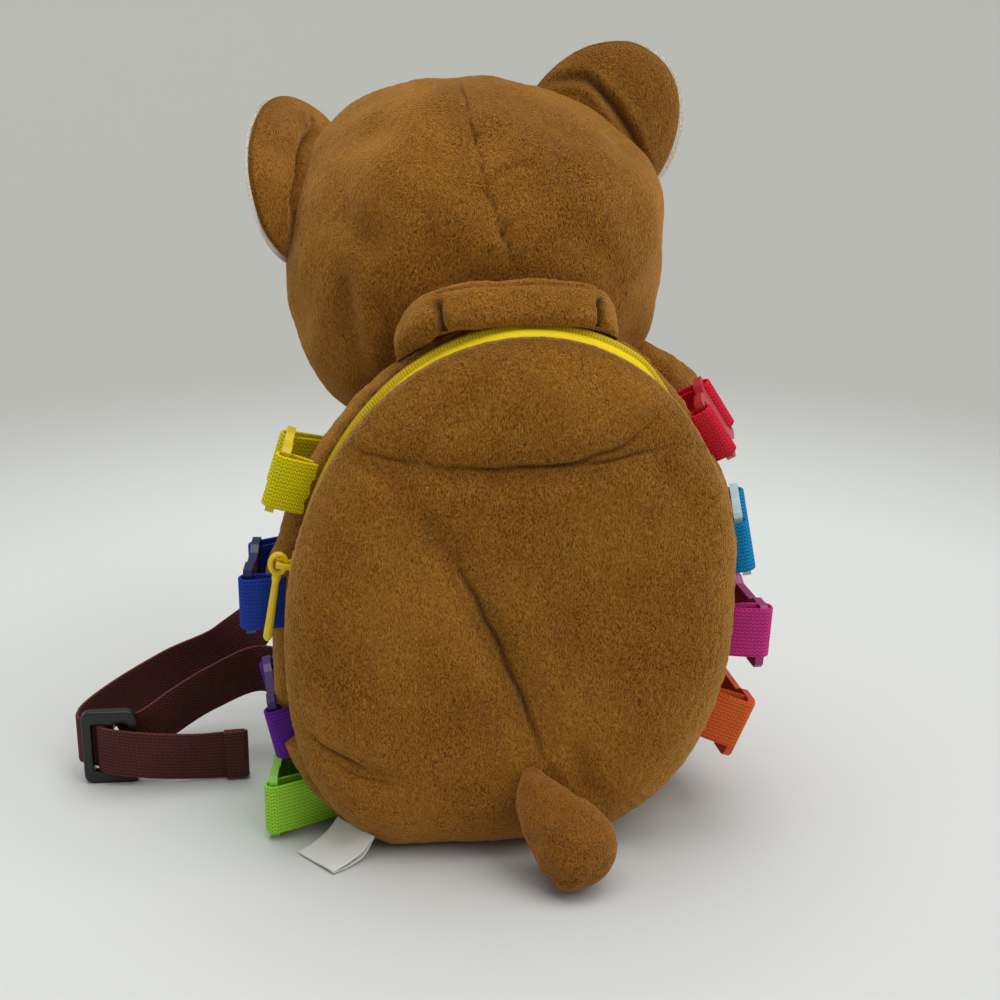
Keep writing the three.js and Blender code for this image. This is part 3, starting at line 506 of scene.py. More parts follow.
def grid_normals(points):
    """Outward normals of a grid whose columns close on themselves, by central differences."""
    down = np.gradient(points, axis=0)
    around = np.roll(points, -1, axis=1) - np.roll(points, 1, axis=1)
    normals = np.cross(around, down)
    normals /= np.maximum(np.linalg.norm(normals, axis=-1, keepdims=True), 1e-9)
    middle = points.reshape(-1, 3).mean(0)
    return normals * np.sign(((points - middle) * normals).sum())


def fuzz(points, seed):
    """Uneven tips of the pile: two short waves added together."""
    return bpy.context.scene.bear_sizes.pile / MM * swelling(points, PILE_WAVES, seed)


# Pouch surface

def outline(ring, angle, inset):
    """Superellipse ring with its own upper and lower halves, leaning a little and cut flat by the floor."""
    centre, half, widest, top = ring
    c, s = np.cos(angle), np.sin(angle)
    lower = lerp(*LOWER_POWER, smoothstep(c, -0.3, 0.3))
    power = 2 / np.where(s > 0, UPPER_POWER, lower)
    rise = np.where(s > 0, top - widest, widest + SINK)
    across = (half - inset) * bent(c, power)
    up = (rise - inset) * bent(s, power)
    height = widest + up + TILT * across
    return centre + across + LEAN * up, np.maximum(height, inset)


def ring_at(share):
    swell = GUSSET_SWELL * np.maximum(np.sin(math.pi * share), 0) ** SWELL_POWER
    centre, half, widest = (lerp(BACK_RING[k], FRONT_RING[k], share) for k in range(3))
    top = lerp(BACK_RING[3], FRONT_RING[3], share ** 2) + swell
    return centre, half + swell, widest, top


def pouch_depth(height):
    return lerp(DEPTH_LOW, DEPTH_TOP, smoothstep(height, 0, FRONT_RING[3]))


def gusset_depth(angle):
    return pouch_depth(outline(FRONT_RING, angle, 0)[1])


def gusset_point(angle, along, inset):
    x, z = outline(ring_at(along / gusset_depth(angle)), angle, inset)
    return triple(x, BACK_SEAM_Y + along, z)


def dome(ring, crowns, angle, share, inset):
    """Plan of a puffed panel and its swell: fullness times the fourth-power dome of its share."""
    rim_x, rim_z = outline(ring, angle, inset)
    x = lerp(ring[0], rim_x, share)
    z = lerp(ring[2], rim_z, share)
    fullness = lerp(crowns[0], crowns[1], np.clip(z / ring[3], 0, 1)) - inset
    return x, z, fullness, np.sqrt(np.maximum(1 - share ** RIM_POWER, 0))


def back_point(angle, share, inset):
    x, z, fullness, swell = dome(BACK_RING, BACK_CROWN, angle, share, inset)
    return np.stack([x, BACK_SEAM_Y - GAP / 2 - fullness * swell, z], -1)


def belly_point(angle, share, inset):
    x, z, fullness, swell = dome(FRONT_RING, BELLY_CROWN, angle, share, inset)
    seam = lerp(pouch_depth(z), gusset_depth(angle), share ** BELLY_SEAM_POWER)
    return np.stack([x, BACK_SEAM_Y + seam + GAP / 2 + fullness * swell, z], -1)


def zip_recess(angle):
    """How deep the zip lies: flush over the top, sunk at the left side and under the right shoulder."""
    return ZIP_RECESS * np.maximum(-np.cos(angle), 0) + ZIP_TUCK * smoothstep(np.cos(angle), *ZIP_SHOULDER)


def zip_span(degrees, before, after):
    """One along the zip, fading within some degrees before its start and after its end."""
    begun = smoothstep(degrees, ZIP_FROM - before, ZIP_FROM)
    return begun * (1 - smoothstep(degrees, ZIP_TO, ZIP_TO + after))


# Mesh building

def grid_faces(rows, columns):
    """Quads of a grid whose columns close on themselves."""
    here = np.arange(columns)
    after = (here + 1) % columns
    top = np.arange(rows - 1)[:, None] * columns
    quads = [top + here, top + after, top + columns + after, top + columns + here]
    return np.stack(quads, -1).reshape(-1, 4)


def turned_out(points, quads, triangles):
    """Faces turned so that the closed surface holds a positive volume."""
    halves = np.concatenate([quads[:, [0, 1, 2]], quads[:, [0, 2, 3]], triangles])
    a, b, c = (points[halves[:, k]] for k in range(3))
    if (a * np.cross(b, c)).sum() < 0:
        return quads[:, ::-1], triangles[:, ::-1]
    return quads, triangles


def add_mesh(name, points, quads, triangles, layers):
    """Object of a surface given in millimetres, with one float layer for each named array."""
    quads, triangles = turned_out(points, quads, triangles)
    mesh = bpy.data.meshes.new(name)
    corners = np.concatenate([quads.ravel(), triangles.ravel()]).astype(np.int32)
    sizes = np.concatenate([np.full(len(quads), 4), np.full(len(triangles), 3)])
    starts = (np.cumsum(sizes) - sizes).astype(np.int32)
    mesh.vertices.add(len(points))
    mesh.vertices.foreach_set("co", (points * MM).astype(np.float32).ravel())
    mesh.loops.add(len(corners))
    mesh.loops.foreach_set("vertex_index", corners)
    mesh.polygons.add(len(sizes))
    mesh.polygons.foreach_set("loop_start", starts)
    mesh.polygons.foreach_set("use_smooth", np.ones(len(sizes), bool))
    for key, values in layers.items():
        kind, field = ("FLOAT_VECTOR", "vector") if values.ndim > 1 else ("FLOAT", "value")
        kept = mesh.attributes.new(key, kind, "POINT")
        kept.data.foreach_set(field, values.astype(np.float32).ravel())
    mesh.update(calc_edges=True)
    mesh.validate()
    made = bpy.data.objects.new(name, mesh)
    bpy.context.scene.collection.objects.link(made)
    return made


def skin(name, points, joined=False, **layers):
    """Closed skin over rows of closed sections: joined end to end, or with a fan of faces at each end."""
    rows, columns = points.shape[:2]
    flat = points.reshape(-1, 3)
    layers = {key: values.reshape(rows * columns, *values.shape[2:]) for key, values in layers.items()}
    quads = grid_faces(rows, columns)
    here = np.arange(columns)
    after = (here + 1) % columns
    last = (rows - 1) * columns
    if joined:
        band = np.stack([last + here, last + after, after, here], -1)
        return add_mesh(name, flat, np.concatenate([quads, band]), np.zeros((0, 3), int), layers)
    tip = rows * columns
    fans = [np.stack([np.full(columns, tip), after, here], -1)]
    fans.append(np.stack([np.full(columns, tip + 1), last + here, last + after], -1))
    flat = np.vstack([flat, points[0].mean(0), points[-1].mean(0)])
    ends = {key: np.stack([values[0], values[last]]) for key, values in layers.items()}
    layers = {key: np.concatenate([values, ends[key]]) for key, values in layers.items()}
    return add_mesh(name, flat, quads, np.concatenate(fans), layers)


def settle_modifiers(made):
    """Keeps the shape that the modifiers give and drops the modifiers."""
    graph = bpy.context.evaluated_depsgraph_get()
    mesh = bpy.data.meshes.new_from_object(made.evaluated_get(graph))
    mesh.name = made.name
    made.modifiers.clear()
    made.data = mesh


def modify(made, name, kind, **settings):
    """Adds a modifier with its settings."""
    modifier = made.modifiers.new(name, kind)
    for key, value in settings.items():
        setattr(modifier, key, value)


def seat(made, *forms):
    """Takes closed forms out of a closed piece, so that it fits on them."""
    tools = [skin("seat", points) for points in forms]
    for tool in tools:
        modify(made, "seat", "BOOLEAN", operation="DIFFERENCE", solver="EXACT", object=tool)
    settle_modifiers(made)
    for tool in tools:
        bpy.data.objects.remove(tool, do_unlink=True)
    if not made.data.polygons:
        raise RuntimeError(f"nothing is left of {made.name}")


def pouch_form():
    """Whole pouch as one closed form, a little larger, used to seat what is sewn on it."""
    columns, rings, steps = POUCH_GRID
    angle = turns(columns)[None, :]
    share = np.linspace(0.05, 1, rings, endpoint=False)[:, None]
    step = np.linspace(0, 1, steps)[:, None]
    back = back_point(angle, share, -GAP)
    sides = gusset_point(angle, step * gusset_depth(angle), -GAP)
    return np.concatenate([back, sides, belly_point(angle, share[::-1], -GAP)])


def dress(made, slot):
    made.data.materials.clear()
    made.data.materials.append(material_of(slot))


def place(made, body, slot, *nodes):
    """Gives a piece its body and its slot's material, and hides the nodes that it stands for."""
    dress(made, slot)
    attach(made, body)
    if nodes:
        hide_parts(*nodes)


def sew(name, surface, slot, node, fill, *seats, joined=False):
    """Padded piece of the bag: a skin with its layer of painted shade, fitted on its seats and standing for
    one node.
    """
    points, crease = surface
    made = skin(name, points, joined, crease=crease)
    if seats:
        seat(made, *seats)
    place(made, "bag", slot, node)


def weave(name, surface, slot, *nodes):
    """Woven piece of the bag: a skin with its places across and along."""
    points, places = surface
    place(skin(name, points, weave=places), "bag", slot, *nodes)


# Colours

def tint(name, red, green, blue):
    """Colour property with its default given in screen values from 0 to 255."""
    shares = [value / 255 for value in (red, green, blue)]
    default = [s / 12.92 if s < 0.04045 else ((s + 0.055) / 1.055) ** 2.4 for s in shares]
    return bpy.props.FloatVectorProperty(
        name=name, description=f"{name} of the bag", subtype="COLOR", size=3, min=0, max=1, default=default)


class BearColours(bpy.types.PropertyGroup):
    """Colours of the cloth, webbing and plastic"""
    plush_shade: tint("Shade of the brown pile", 86, 47, 6)
    plush_light: tint("Light of the brown pile", 182, 122, 44)
    tail_shade: tint("Shade of the tail's pile", 66, 33, 2)
    tail_light: tint("Light of the tail's pile", 160, 104, 38)
    cream_shade: tint("Shade of the cream pile", 212, 200, 176)
    cream_light: tint("Light of the cream pile", 255, 250, 238)
    zip_yellow: tint("Zip tape", 255, 216, 0)
    pull_yellow: tint("Slider and pull", 252, 210, 4)
    strap: tint("Strap webbing", 66, 30, 28)
    lock: tint("Ladder lock", 11, 12, 12)
    label: tint("Label", 232, 232, 227)
    face: tint("Eyes and nose", 26, 20, 18)
    floor: tint("Floor", 210, 212, 210)
    # Painted shade: the grey that the far floor turns to
    shaded_far_floor: tint("Backdrop", 171, 172, 167)
    webbing_yellow: tint("Yellow webbing", 255, 210, 0)
    webbing_blue: tint("Blue webbing", 22, 52, 150)
    webbing_purple: tint("Purple webbing", 84, 26, 138)
    webbing_green: tint("Green webbing", 146, 244, 54)
    webbing_red: tint("Red webbing", 248, 26, 50)
    webbing_teal: tint("Teal webbing", 0, 128, 184)
    webbing_magenta: tint("Magenta webbing", 200, 46, 126)
    webbing_orange: tint("Orange webbing", 255, 92, 34)
    plastic_yellow: tint("Yellow plastic", 236, 208, 24)
    plastic_blue: tint("Blue plastic", 8, 22, 84)
    plastic_purple: tint("Purple plastic", 72, 28, 116)
    plastic_green: tint("Green plastic", 160, 228, 92)
    plastic_red: tint("Red plastic", 186, 20, 42)
    plastic_teal: tint("Pale aqua plastic", 192, 224, 228)
    plastic_magenta: tint("Magenta plastic", 156, 44, 110)
    plastic_orange: tint("Orange plastic", 222, 68, 34)


def size(name, description, default):
    return bpy.props.FloatProperty(name=name, description=description, default=default, unit="LENGTH")


class BearSizes(bpy.types.PropertyGroup):
    """Sizes of the cloth's surface and of moulded edges"""
    pile: size("Pile", "Height of the pile's uneven tips", 0.00018)
    puckers: size("Puckers", "Depth of the puckers along sewn seams", 0.0007)
    edge: size("Edge", "Rounding of moulded edges", 0.0006)


# Shader terms

class Term:
    """Output socket of a node tree with arithmetic: each operator adds one Math node."""

    def __init__(self, tree, socket):
        self.tree = tree
        self.socket = socket

    def node(self, kind, settings, sockets, output=0):
        """Adds a node: its settings first, then its sockets, and gives one of its outputs."""
        made = self.tree.nodes.new(kind)
        for key, value in settings.items():
            setattr(made, key, value)
        for key, value in sockets.items():
            feed(self.tree, made.inputs[key], value)
        return Term(self.tree, made.outputs[output])

    def math(self, operation, first, second=0.0):
        return self.node("ShaderNodeMath", {"operation": operation}, {0: first, 1: second})

    def __add__(self, other):
        return self.math("ADD", self, other)

    def __radd__(self, other):
        return self.math("ADD", other, self)

    def __sub__(self, other):
        return self.math("SUBTRACT", self, other)

    def __rsub__(self, other):
        return self.math("SUBTRACT", other, self)

    def __mul__(self, other):
        return self.math("MULTIPLY", self, other)

    def __rmul__(self, other):
        return self.math("MULTIPLY", other, self)

    def __abs__(self):
        return self.math("ABSOLUTE", self)


def feed(tree, socket, value):
    """Links a term to a socket, or sets a plain value on it."""
    if isinstance(value, Term):
        tree.links.new(value.socket, socket)
    else:
        socket.default_value = value


def smooth(term, low, high):
    """Smooth share of a term between two bounds."""
    settings = {"interpolation_type": "SMOOTHSTEP"}
    return term.node("ShaderNodeMapRange", settings, {"Value": term, "From Min": low, "From Max": high})


def noise(coordinates, scale, detail=2.0, roughness=0.5, distortion=0.0):
    sockets = {"Vector": coordinates, "Scale": scale, "Detail": detail, "Roughness": roughness}
    sockets["Distortion"] = distortion
    return coordinates.node("ShaderNodeTexNoise", {}, sockets)


def mix(factor, first, second):
    settings = {"data_type": "RGBA", "clamp_factor": True}
    return factor.node("ShaderNodeMix", settings, {0: factor, 6: first, 7: second}, 2)


def layer(term, name, output):
    return term.node("ShaderNodeAttribute", {"attribute_name": name}, {}, output)


def weave_parts(coordinates, count):
    """Places across and along a woven piece, and the painted shade kept with them."""
    places = layer(coordinates, "weave", 1)
    return [places.node("ShaderNodeSeparateXYZ", {}, {0: places}, k) for k in range(count)]


def threads(term, width):
    """Ridges that rise and fall once in two widths, counted from outside the piece."""
    return term.math("PINGPONG", term + THREAD_START, width)


def bump(height, distance, strength):
    return height.node("ShaderNodeBump", {}, {"Height": height, "Distance": distance, "Strength": strength})


def rgba(colour, gain=1.0):
    return (*(min(part * gain, 1.0) for part in colour), 1.0)


def new_material(name, constants):
    """Material with one Principled shader, its constants, and the object coordinates to build on."""
    material = bpy.data.materials.new(name)
    material.use_nodes = True
    tree = material.node_tree
    shader = tree.nodes["Principled BSDF"]
    for key, value in constants.items():
        shader.inputs[key].default_value = value
    place_node = tree.nodes.new("ShaderNodeTexCoord")
    return material, shader, Term(tree, place_node.outputs["Object"])


def finish(material, shader, **terms):
    """Feeds the varying inputs of the shader."""
    names = {"colour": "Base Color", "roughness": "Roughness", "coat": "Coat Weight", "normal": "Normal"}
    for key, value in terms.items():
        feed(material.node_tree, shader.inputs[names[key]], value)
    return material


def pile_material(name, shade, light):
    """Short pile: fine strokes that lie downward and sway, brushed patches, painted shade in creases and
    seams, and a pale sheen.
    """
    paler, gain = PILE_SHEEN
    constants = {"Specular IOR Level": 0.1, "Sheen Weight": 1.0, "Sheen Roughness": 0.38}
    constants["Sheen Tint"] = rgba([lerp(part, 1.0, paler) for part in light], gain)
    material, shader, coordinates = new_material(name, constants)
    cells, reach = PILE_SWAY
    sway = coordinates.node("ShaderNodeTexNoise", {}, {"Vector": coordinates, "Scale": cells}, 1)
    vector = "ShaderNodeVectorMath"
    sockets = {0: sway, 1: (reach, reach, reach), 2: coordinates}
    swayed = coordinates.node(vector, {"operation": "MULTIPLY_ADD"}, sockets)
    lying = coordinates.node(vector, {"operation": "MULTIPLY"}, {0: swayed, 1: PILE_STRETCH})
    fine, coarse, broad = PILE_CELLS
    curls = noise(lying, fine, 1.0)
    tufts = noise(lying, coarse)
    patches = noise(coordinates, broad, distortion=0.4)
    mottle = curls * 2.1 + tufts * 0.3 + patches * 0.9 - 1.08
    pile = mix(mottle, rgba(shade), rgba(light))
    # Painted shade: each piece's layer darkens the pile towards a share of its shade colour in creases, seams
    # and hollows
    most, deepest = PILE_PAINTED_SHADE
    dark = mix(layer(coordinates, "crease", 2) * most, pile, rgba(shade, deepest))
    relief = bump(curls + tufts * 0.5, *PILE_RELIEF)
    return finish(material, shader, colour=dark, roughness=0.88 + curls * 0.1, normal=relief)


def webbing_material(name, colour, column, pitch, low, high, frayed_lit_edge_gain):
    """Herringbone webbing: rows of zigzags run along it, one beside the other, with a paler line along each
    edge that is frayed fibres and painted highlight.
    """
    constants = {"Specular IOR Level": 0.25, "Sheen Weight": 0.6, "Sheen Roughness": 0.5}
    constants["Sheen Tint"] = rgba(colour, 1.6)
    material, shader, coordinates = new_material(name, constants)
    across, along = weave_parts(coordinates, 2)
    zigzag = along.math("PINGPONG", along + WEB_START * column, column)
    rib = zigzag.math("PINGPONG", across + zigzag + WEB_START * pitch, pitch / 2) * (2 / pitch)
    furrow = zigzag.math("PINGPONG", along + WEB_START * column, column / 2) * (2 / column)
    yarn = smooth(rib, 0.05, 0.6) * (0.3 + smooth(furrow, 0.0, 0.5) * 0.7)
    fine, broad = WEB_CELLS
    fibres = noise(coordinates, fine, roughness=0.6)
    worn = noise(coordinates, broad)
    # Paler edges: frayed fibres and painted highlight
    edge = smooth(abs(across), *(WEB_WIDTH / 2 - inset for inset in WEB_FRAYED_LIT_EDGE))
    light = yarn * 0.75 + fibres * 0.3 + worn * 0.25 - 0.2
    cloth = mix(light, rgba(colour, low), rgba(colour, high))
    frayed_lit_edge = mix(edge * 0.7, cloth, rgba(colour, frayed_lit_edge_gain))
    relief = bump(yarn * 0.8 + fibres * 0.15, *WEB_RELIEF)
    return finish(material, shader, colour=frayed_lit_edge, roughness=0.62 + fibres * 0.25, normal=relief)


def plastic_material(name, colour, roughness, coat):
    """Moulded plastic: a faint grain, soft clouds of colour and small changes of gloss."""
    material, shader, coordinates = new_material(name, {"Coat Roughness": 0.2, "IOR": 1.48})
    broad, fine = PLASTIC_CELLS
    clouds = noise(coordinates, broad, 3.0, 0.55)
    grain = noise(coordinates, fine)
    body = mix(clouds, rgba(colour, 0.82), rgba(colour, 1.14))
    rough = roughness + clouds * 0.12 + grain * 0.1 - 0.11
    relief = bump(grain, *PLASTIC_RELIEF)
    return finish(material, shader, colour=body, roughness=rough, coat=coat + clouds * 0.1, normal=relief)


def zip_material(name, colour):
    """Zip: finely woven tape, with painted shade over the coil, in its furrows, beside it and on the tape
    beyond it.
    """
    material, shader, coordinates = new_material(name, {"Specular IOR Level": 0.25})
    across, along, dark = weave_parts(coordinates, 3)
    warp, weft = ZIP_THREADS
    rows = threads(across, warp) * 2.8
    picks = threads(along, weft) * 2.2
    cloth = rows * 0.5 + picks * 0.5
    fibres = noise(coordinates, ZIP_CELLS)
    light = cloth * 0.5 + fibres * 0.5
    tape = mix(light, rgba(colour, 0.8), rgba(colour, 1.1))
    # Painted shade from the layer darkens the tape
    body = mix(dark, tape, rgba(colour, 0.16))
    relief = bump((1.0 - dark) * cloth + fibres * 0.2, *ZIP_RELIEF)
    return finish(material, shader, colour=body, roughness=0.5 + fibres * 0.2, normal=relief)


def label_material(name, colour):
    """Blank satin tape: fine crossing threads and a soft shine."""
    material, shader, coordinates = new_material(name, {"Specular IOR Level": 0.45, "Sheen Weight": 0.1})
    across, along = weave_parts(coordinates, 2)
    warp, weft = LABEL_THREADS
    satin = threads(across, warp) * 2.5 + threads(along, weft) * 1.6
    clouds = noise(coordinates, LABEL_CELLS)
    body = mix(satin * 0.4 + clouds * 0.5, rgba(colour, 0.86), rgba(colour, 1.05))
    relief = bump(satin, *LABEL_RELIEF)
    return finish(material, shader, colour=body, roughness=0.4 + clouds * 0.2, normal=relief)


def stage_material(name, floor, shaded_far_floor):
    """Pale paper floor with painted shade that turns it grey in the distance."""
    material, shader, coordinates = new_material(name, {"Specular IOR Level": 0.2})
    reach = coordinates.node("ShaderNodeVectorMath", {"operation": "LENGTH"}, {0: coordinates}, 1)
    far = smooth(reach, *PAPER_FADE)
    paper = noise(coordinates, PAPER_CELLS)
    sheet = mix(far, rgba(floor), rgba(shaded_far_floor))
    tone = mix(paper * 0.05, sheet, rgba(shaded_far_floor, 0.9))
    return finish(material, shader, colour=tone, roughness=0.75 + paper * 0.1)


# Finish of each record slot: its material, the names of its colours and its own values
FINISHES = {
    "plush": (pile_material, ("plush_shade", "plush_light")),
    "tail_plush": (pile_material, ("tail_shade", "tail_light")),
    "cream_plush": (pile_material, ("cream_shade", "cream_light")),
    "strap": (webbing_material, ("strap",), 1.2, 1.7, 0.05, 3.4, 2.8),
    "zip": (zip_material, ("zip_yellow",)),
    "zip_hardware": (plastic_material, ("pull_yellow",), 0.32, 0.2),
    "lock": (plastic_material, ("lock",), 0.42, 0.1),
    "label": (label_material, ("label",)),
    "face": (plastic_material, ("face",), 0.16, 0.6),
}
for buckle, *_ in BUCKLES:
    FINISHES[f"webbing_{buckle}"] = (webbing_material, (f"webbing_{buckle}",), 1.15, 1.8, 0.55, 2.0, 1.0)
    FINISHES[f"plastic_{buckle}"] = (plastic_material, (f"plastic_{buckle}",), 0.34, 0.12)
MATERIALS = {}


def material_of(slot):
    """Material of a record slot, made when it is first needed."""
    if slot not in MATERIALS:
        make, names, *values = FINISHES[slot]
        colours = (getattr(bpy.context.scene.bear_colours, name) for name in names)
        MATERIALS[slot] = make(slot, *colours, *values)
    return MATERIALS[slot]


# Soft forms

def puckers(points, angle, distance, seed):
    """Short gathers across a sewn seam, dying out within a finger's breadth of it."""
    first, second = GATHERS
    folds = np.sin(angle * first + swelling(points, GATHER_WANDER, seed))
    folds = folds + GATHER_SHARE * np.sin(angle * second + seed)
    return bpy.context.scene.bear_sizes.puckers / MM * folds * np.exp(-distance / GATHER_REACH)


def pouch_panel(point_at, grid, lines, seed):
    """Puffed panel: share runs from middle to seam, angle round it; creases push it along its normals. Its
    layer paints shade in the creases, at the seam and over the inner face.
    """
    columns, rows = grid
    start, spread = PANEL_RINGS
    angle = turns(columns)[None, :]
    share = (np.linspace(start, 1, rows) ** spread)[:, None]
    face = point_at(angle, share, 0.0)
    depth = creases(face[..., 0], face[..., 2], lines)
    hold = np.sqrt(np.maximum(1 - share ** PANEL_HOLD, 0))
    seam = (1 - share) * PANEL_REACH
    push = hold * (swelling(face, PANEL_SWELL, seed) - depth) + puckers(face, angle, seam, seed) * hold
    face = face + grid_normals(face) * (push + fuzz(face, seed))[..., None]
    face[..., 2] = np.maximum(face[..., 2], FLOOR_GAP)
    # Painted shade: darker in the creases and in a narrow band at the seam
    deepest, most, power = CREASE_DARK
    crease = np.clip(depth / deepest, 0, most) ** power * hold + SEAM_DARK * np.exp(-seam / PANEL_SEAM)
    back = point_at(angle, np.array(PANEL_INSIDE)[:, None], CLOTH + LINING_SLACK)
    # The inner face is painted in full shade
    crease = np.concatenate([crease, np.ones(back.shape[:2])])
    return np.concatenate([face, back]), crease


def gusset_band():
    """Side wall: swelling rings from seam to seam, rolled in at both edges and cut back along the zip, with
    painted shade along both seams and over its inner face.
    """
    columns, rows = WALL_GRID
    angle = turns(columns)[:, None]
    degrees = np.degrees(angle)
    start = GAP / 2 + zip_span(degrees, 1, 1) * (ZIP_WIDTH + GAP)
    end = gusset_depth(angle) - GAP / 2
    along = lerp(start, end, np.linspace(0, 1, rows)[None, :])
    near = np.minimum(along - start, end - along)
    deep, reach = WALL_ROLL
    sunk = zip_recess(angle) * zip_span(degrees, *ZIP_FADE) * np.exp(-(along - start) / ZIP_FADE_REACH)
    face = gusset_point(angle, along, deep * np.exp(-near / reach) + sunk)
    outward = unit(triple(np.cos(angle), 0 * along, np.sin(angle)))
    full, fuller = WALL_FULL
    swell = full - fuller * np.cos(angle) + swelling(face, WALL_SWELL, WALL_SEED)
    push = (1 - np.exp(-near / WALL_HOLD)) * swell + puckers(face, angle, near, WALL_SEED + 2)
    face = face + outward * (push + fuzz(face, WALL_SEED + 3))[..., None]
    face[..., 2] = np.maximum(face[..., 2], FLOOR_GAP)
    inside = lerp(end, start, np.linspace(0, 1, WALL_INSIDE)[None, :])
    back = gusset_point(angle, inside, CLOTH + LINING_SLACK)
    # Painted shade in a narrow band along both seams, and full shade on the inner face
    crease = np.concatenate([SEAM_DARK * np.exp(-near / WALL_SEAM), np.ones(back.shape[:2])], 1)
    return np.concatenate([face, back], 1), crease


def ball(radii, power, grid):
    """Superellipsoid: directions over a sphere scaled until the sum of their powers is one."""
    rows, columns = grid
    latitude = (np.linspace(-0.5, 0.5, rows + 2)[1:-1] * math.pi)[:, None]
    turn = turns(columns)[None, :]
    way = triple(np.cos(latitude) * np.cos(turn), np.cos(latitude) * np.sin(turn), np.sin(latitude))
    size = (np.abs(way) ** power).sum(-1, keepdims=True) ** (-1 / power)
    return way * size * np.array(radii, float)


def head_form(grow, grid):
    """Head in its own frame: a superellipsoid made fuller at its sides and uneven on its crown."""
    points = ball([radius + grow for radius in HEAD_RADII], HEAD_POWER, grid)
    x, y, z = (points[..., k] for k in range(3))
    left, right = (fullness * bell(z - level, reach) for fullness, level, reach in CHEEKS)
    lumps = sum(height * bell(x - at, reach) for at, reach, height in CROWN_LUMPS)
    wide = x * (1 + np.where(x < 0, left, right * (1 - smoothstep(y, *CHEEK_FRONT))))
    return np.stack([wide, y, z + lumps * smoothstep(z, *CROWN_SPAN)], -1)


def head_core(grow):
    """Head as one closed form, grown or shrunk, used to seat what is sewn on it."""
    return to_bag(head_form(grow, CORE_GRID))


def to_bag(points):
    """From the head's frame to the bag's: rolled about Y and moved to its place."""
    c, s = math.cos(HEAD_ROLL), math.sin(HEAD_ROLL)
    x = points[..., 0] * c + points[..., 2] * s
    z = points[..., 2] * c - points[..., 0] * s
    return np.stack([x, points[..., 1], z], -1) + np.array(HEAD_AT)


def head_surface():
    """Stuffed head: the seam down its back is a narrow valley in a wide one, with a pucker and soft folds,
    and painted shade in the seam, pucker and folds.
    """
    points = head_form(0, HEAD_GRID)
    x, y, z = (points[..., k] for k in range(3))
    behind = smoothstep(-y, *HEAD_BEHIND)
    levels, offsets = zip(*HEAD_SEAM[::-1])
    aside = x - np.interp(z, levels, offsets) + swelling(points, SEAM_WAVER, HEAD_SEED + 3)
    mean, swing, pace = STITCHES
    stitches = mean + swing * np.sin(z * pace) + swelling(points, STITCH_WAVER, HEAD_SEED + 4)
    (wide, wide_reach), (narrow, narrow_reach) = SEAM_WIDE, SEAM_NARROW
    thread = np.clip(stitches, *STITCH_RANGE) * bell(aside, narrow_reach)
    seam = wide * bell(aside, wide_reach) + narrow * thread
    nick, bulge = (
        height * bell(aside - shift, reach) * bell(z - level, rise)
        for height, shift, reach, level, rise in (SEAM_NICK, SEAM_BULGE))
    folds = creases(x, z, HEAD_FOLDS)
    most, near, far = HEAD_CALM
    swell = (1 - most * smoothstep(y, near, far)) * swelling(points, HEAD_SWELL, HEAD_SEED)
    push = swell - behind * (seam + nick - bulge + folds) + fuzz(points, HEAD_SEED + 2)
    # Painted shade on the back of the head: in the seam's stitches, its pucker and the folds
    shades = zip(HEAD_DARK, (thread, nick, np.maximum(folds, 0)))
    dark = behind * sum(share * depth for share, depth in shades)
    return to_bag(points + grid_normals(points) * push[..., None]), np.clip(dark, 0, 1)


def ear_frame(side, at, lean, fold):
    """Chord, rise and facing of an ear in the head's frame."""
    rise = np.array([side * math.sin(lean), 0, math.cos(lean)])
    chord = np.array([math.cos(lean), 0, -side * math.sin(lean)])
    forward = np.array([0, 1.0, 0])
    tilted = rise * math.cos(fold) + forward * math.sin(fold)
    facing = forward * math.cos(fold) - rise * math.sin(fold)
    handed = chord * np.sign(np.dot(np.cross(chord, tilted), facing))
    return np.stack([handed, tilted, facing]), np.array(at, float)


def ear_disc(chord, height, front, back, lift, tucks, seed):
    """Cupped lens: share runs from the middle of the back over the rim to the middle of the front; painted
    shade lies in the tucks and along the rim.
    """
    columns, rings = EAR_GRID
    turn = turns(columns)[None, :]
    outer = np.sin(np.linspace(0.03, 0.5, rings) * math.pi)[:, None]
    share = np.concatenate([outer, outer[-2::-3]])
    behind = np.arange(len(share))[:, None] < rings
    across = chord * share * np.cos(turn)
    up = height * share * np.sin(turn)
    cup = EAR_CUP * ((across / EAR_CHORD) ** 2 + np.maximum(up / EAR_HEIGHT, 0) ** 2)
    full = np.sqrt(np.maximum(1 - share ** 2, 0))
    points = np.stack([across, up, lift + cup + np.where(behind, -back, front) * full], -1)
    valley = behind * full * creases(across, up, tucks)
    swell = swelling(points, EAR_SWELL, seed) + fuzz(points, seed + 1)
    points[..., 2] += valley + np.where(behind, -1, 1) * swell * np.minimum(full * EAR_HOLD, 1)
    points[..., :2] *= 1 + swelling(points, EAR_RIM, seed + 2)[..., None]
    # Painted shade in the tucks and along the rim
    deepest, dark = EAR_DARK
    edge, edge_dark = EAR_EDGE
    crease = np.clip(valley / deepest, 0, 1) * dark + edge_dark * (share > edge)
    return points, np.broadcast_to(crease, across.shape)


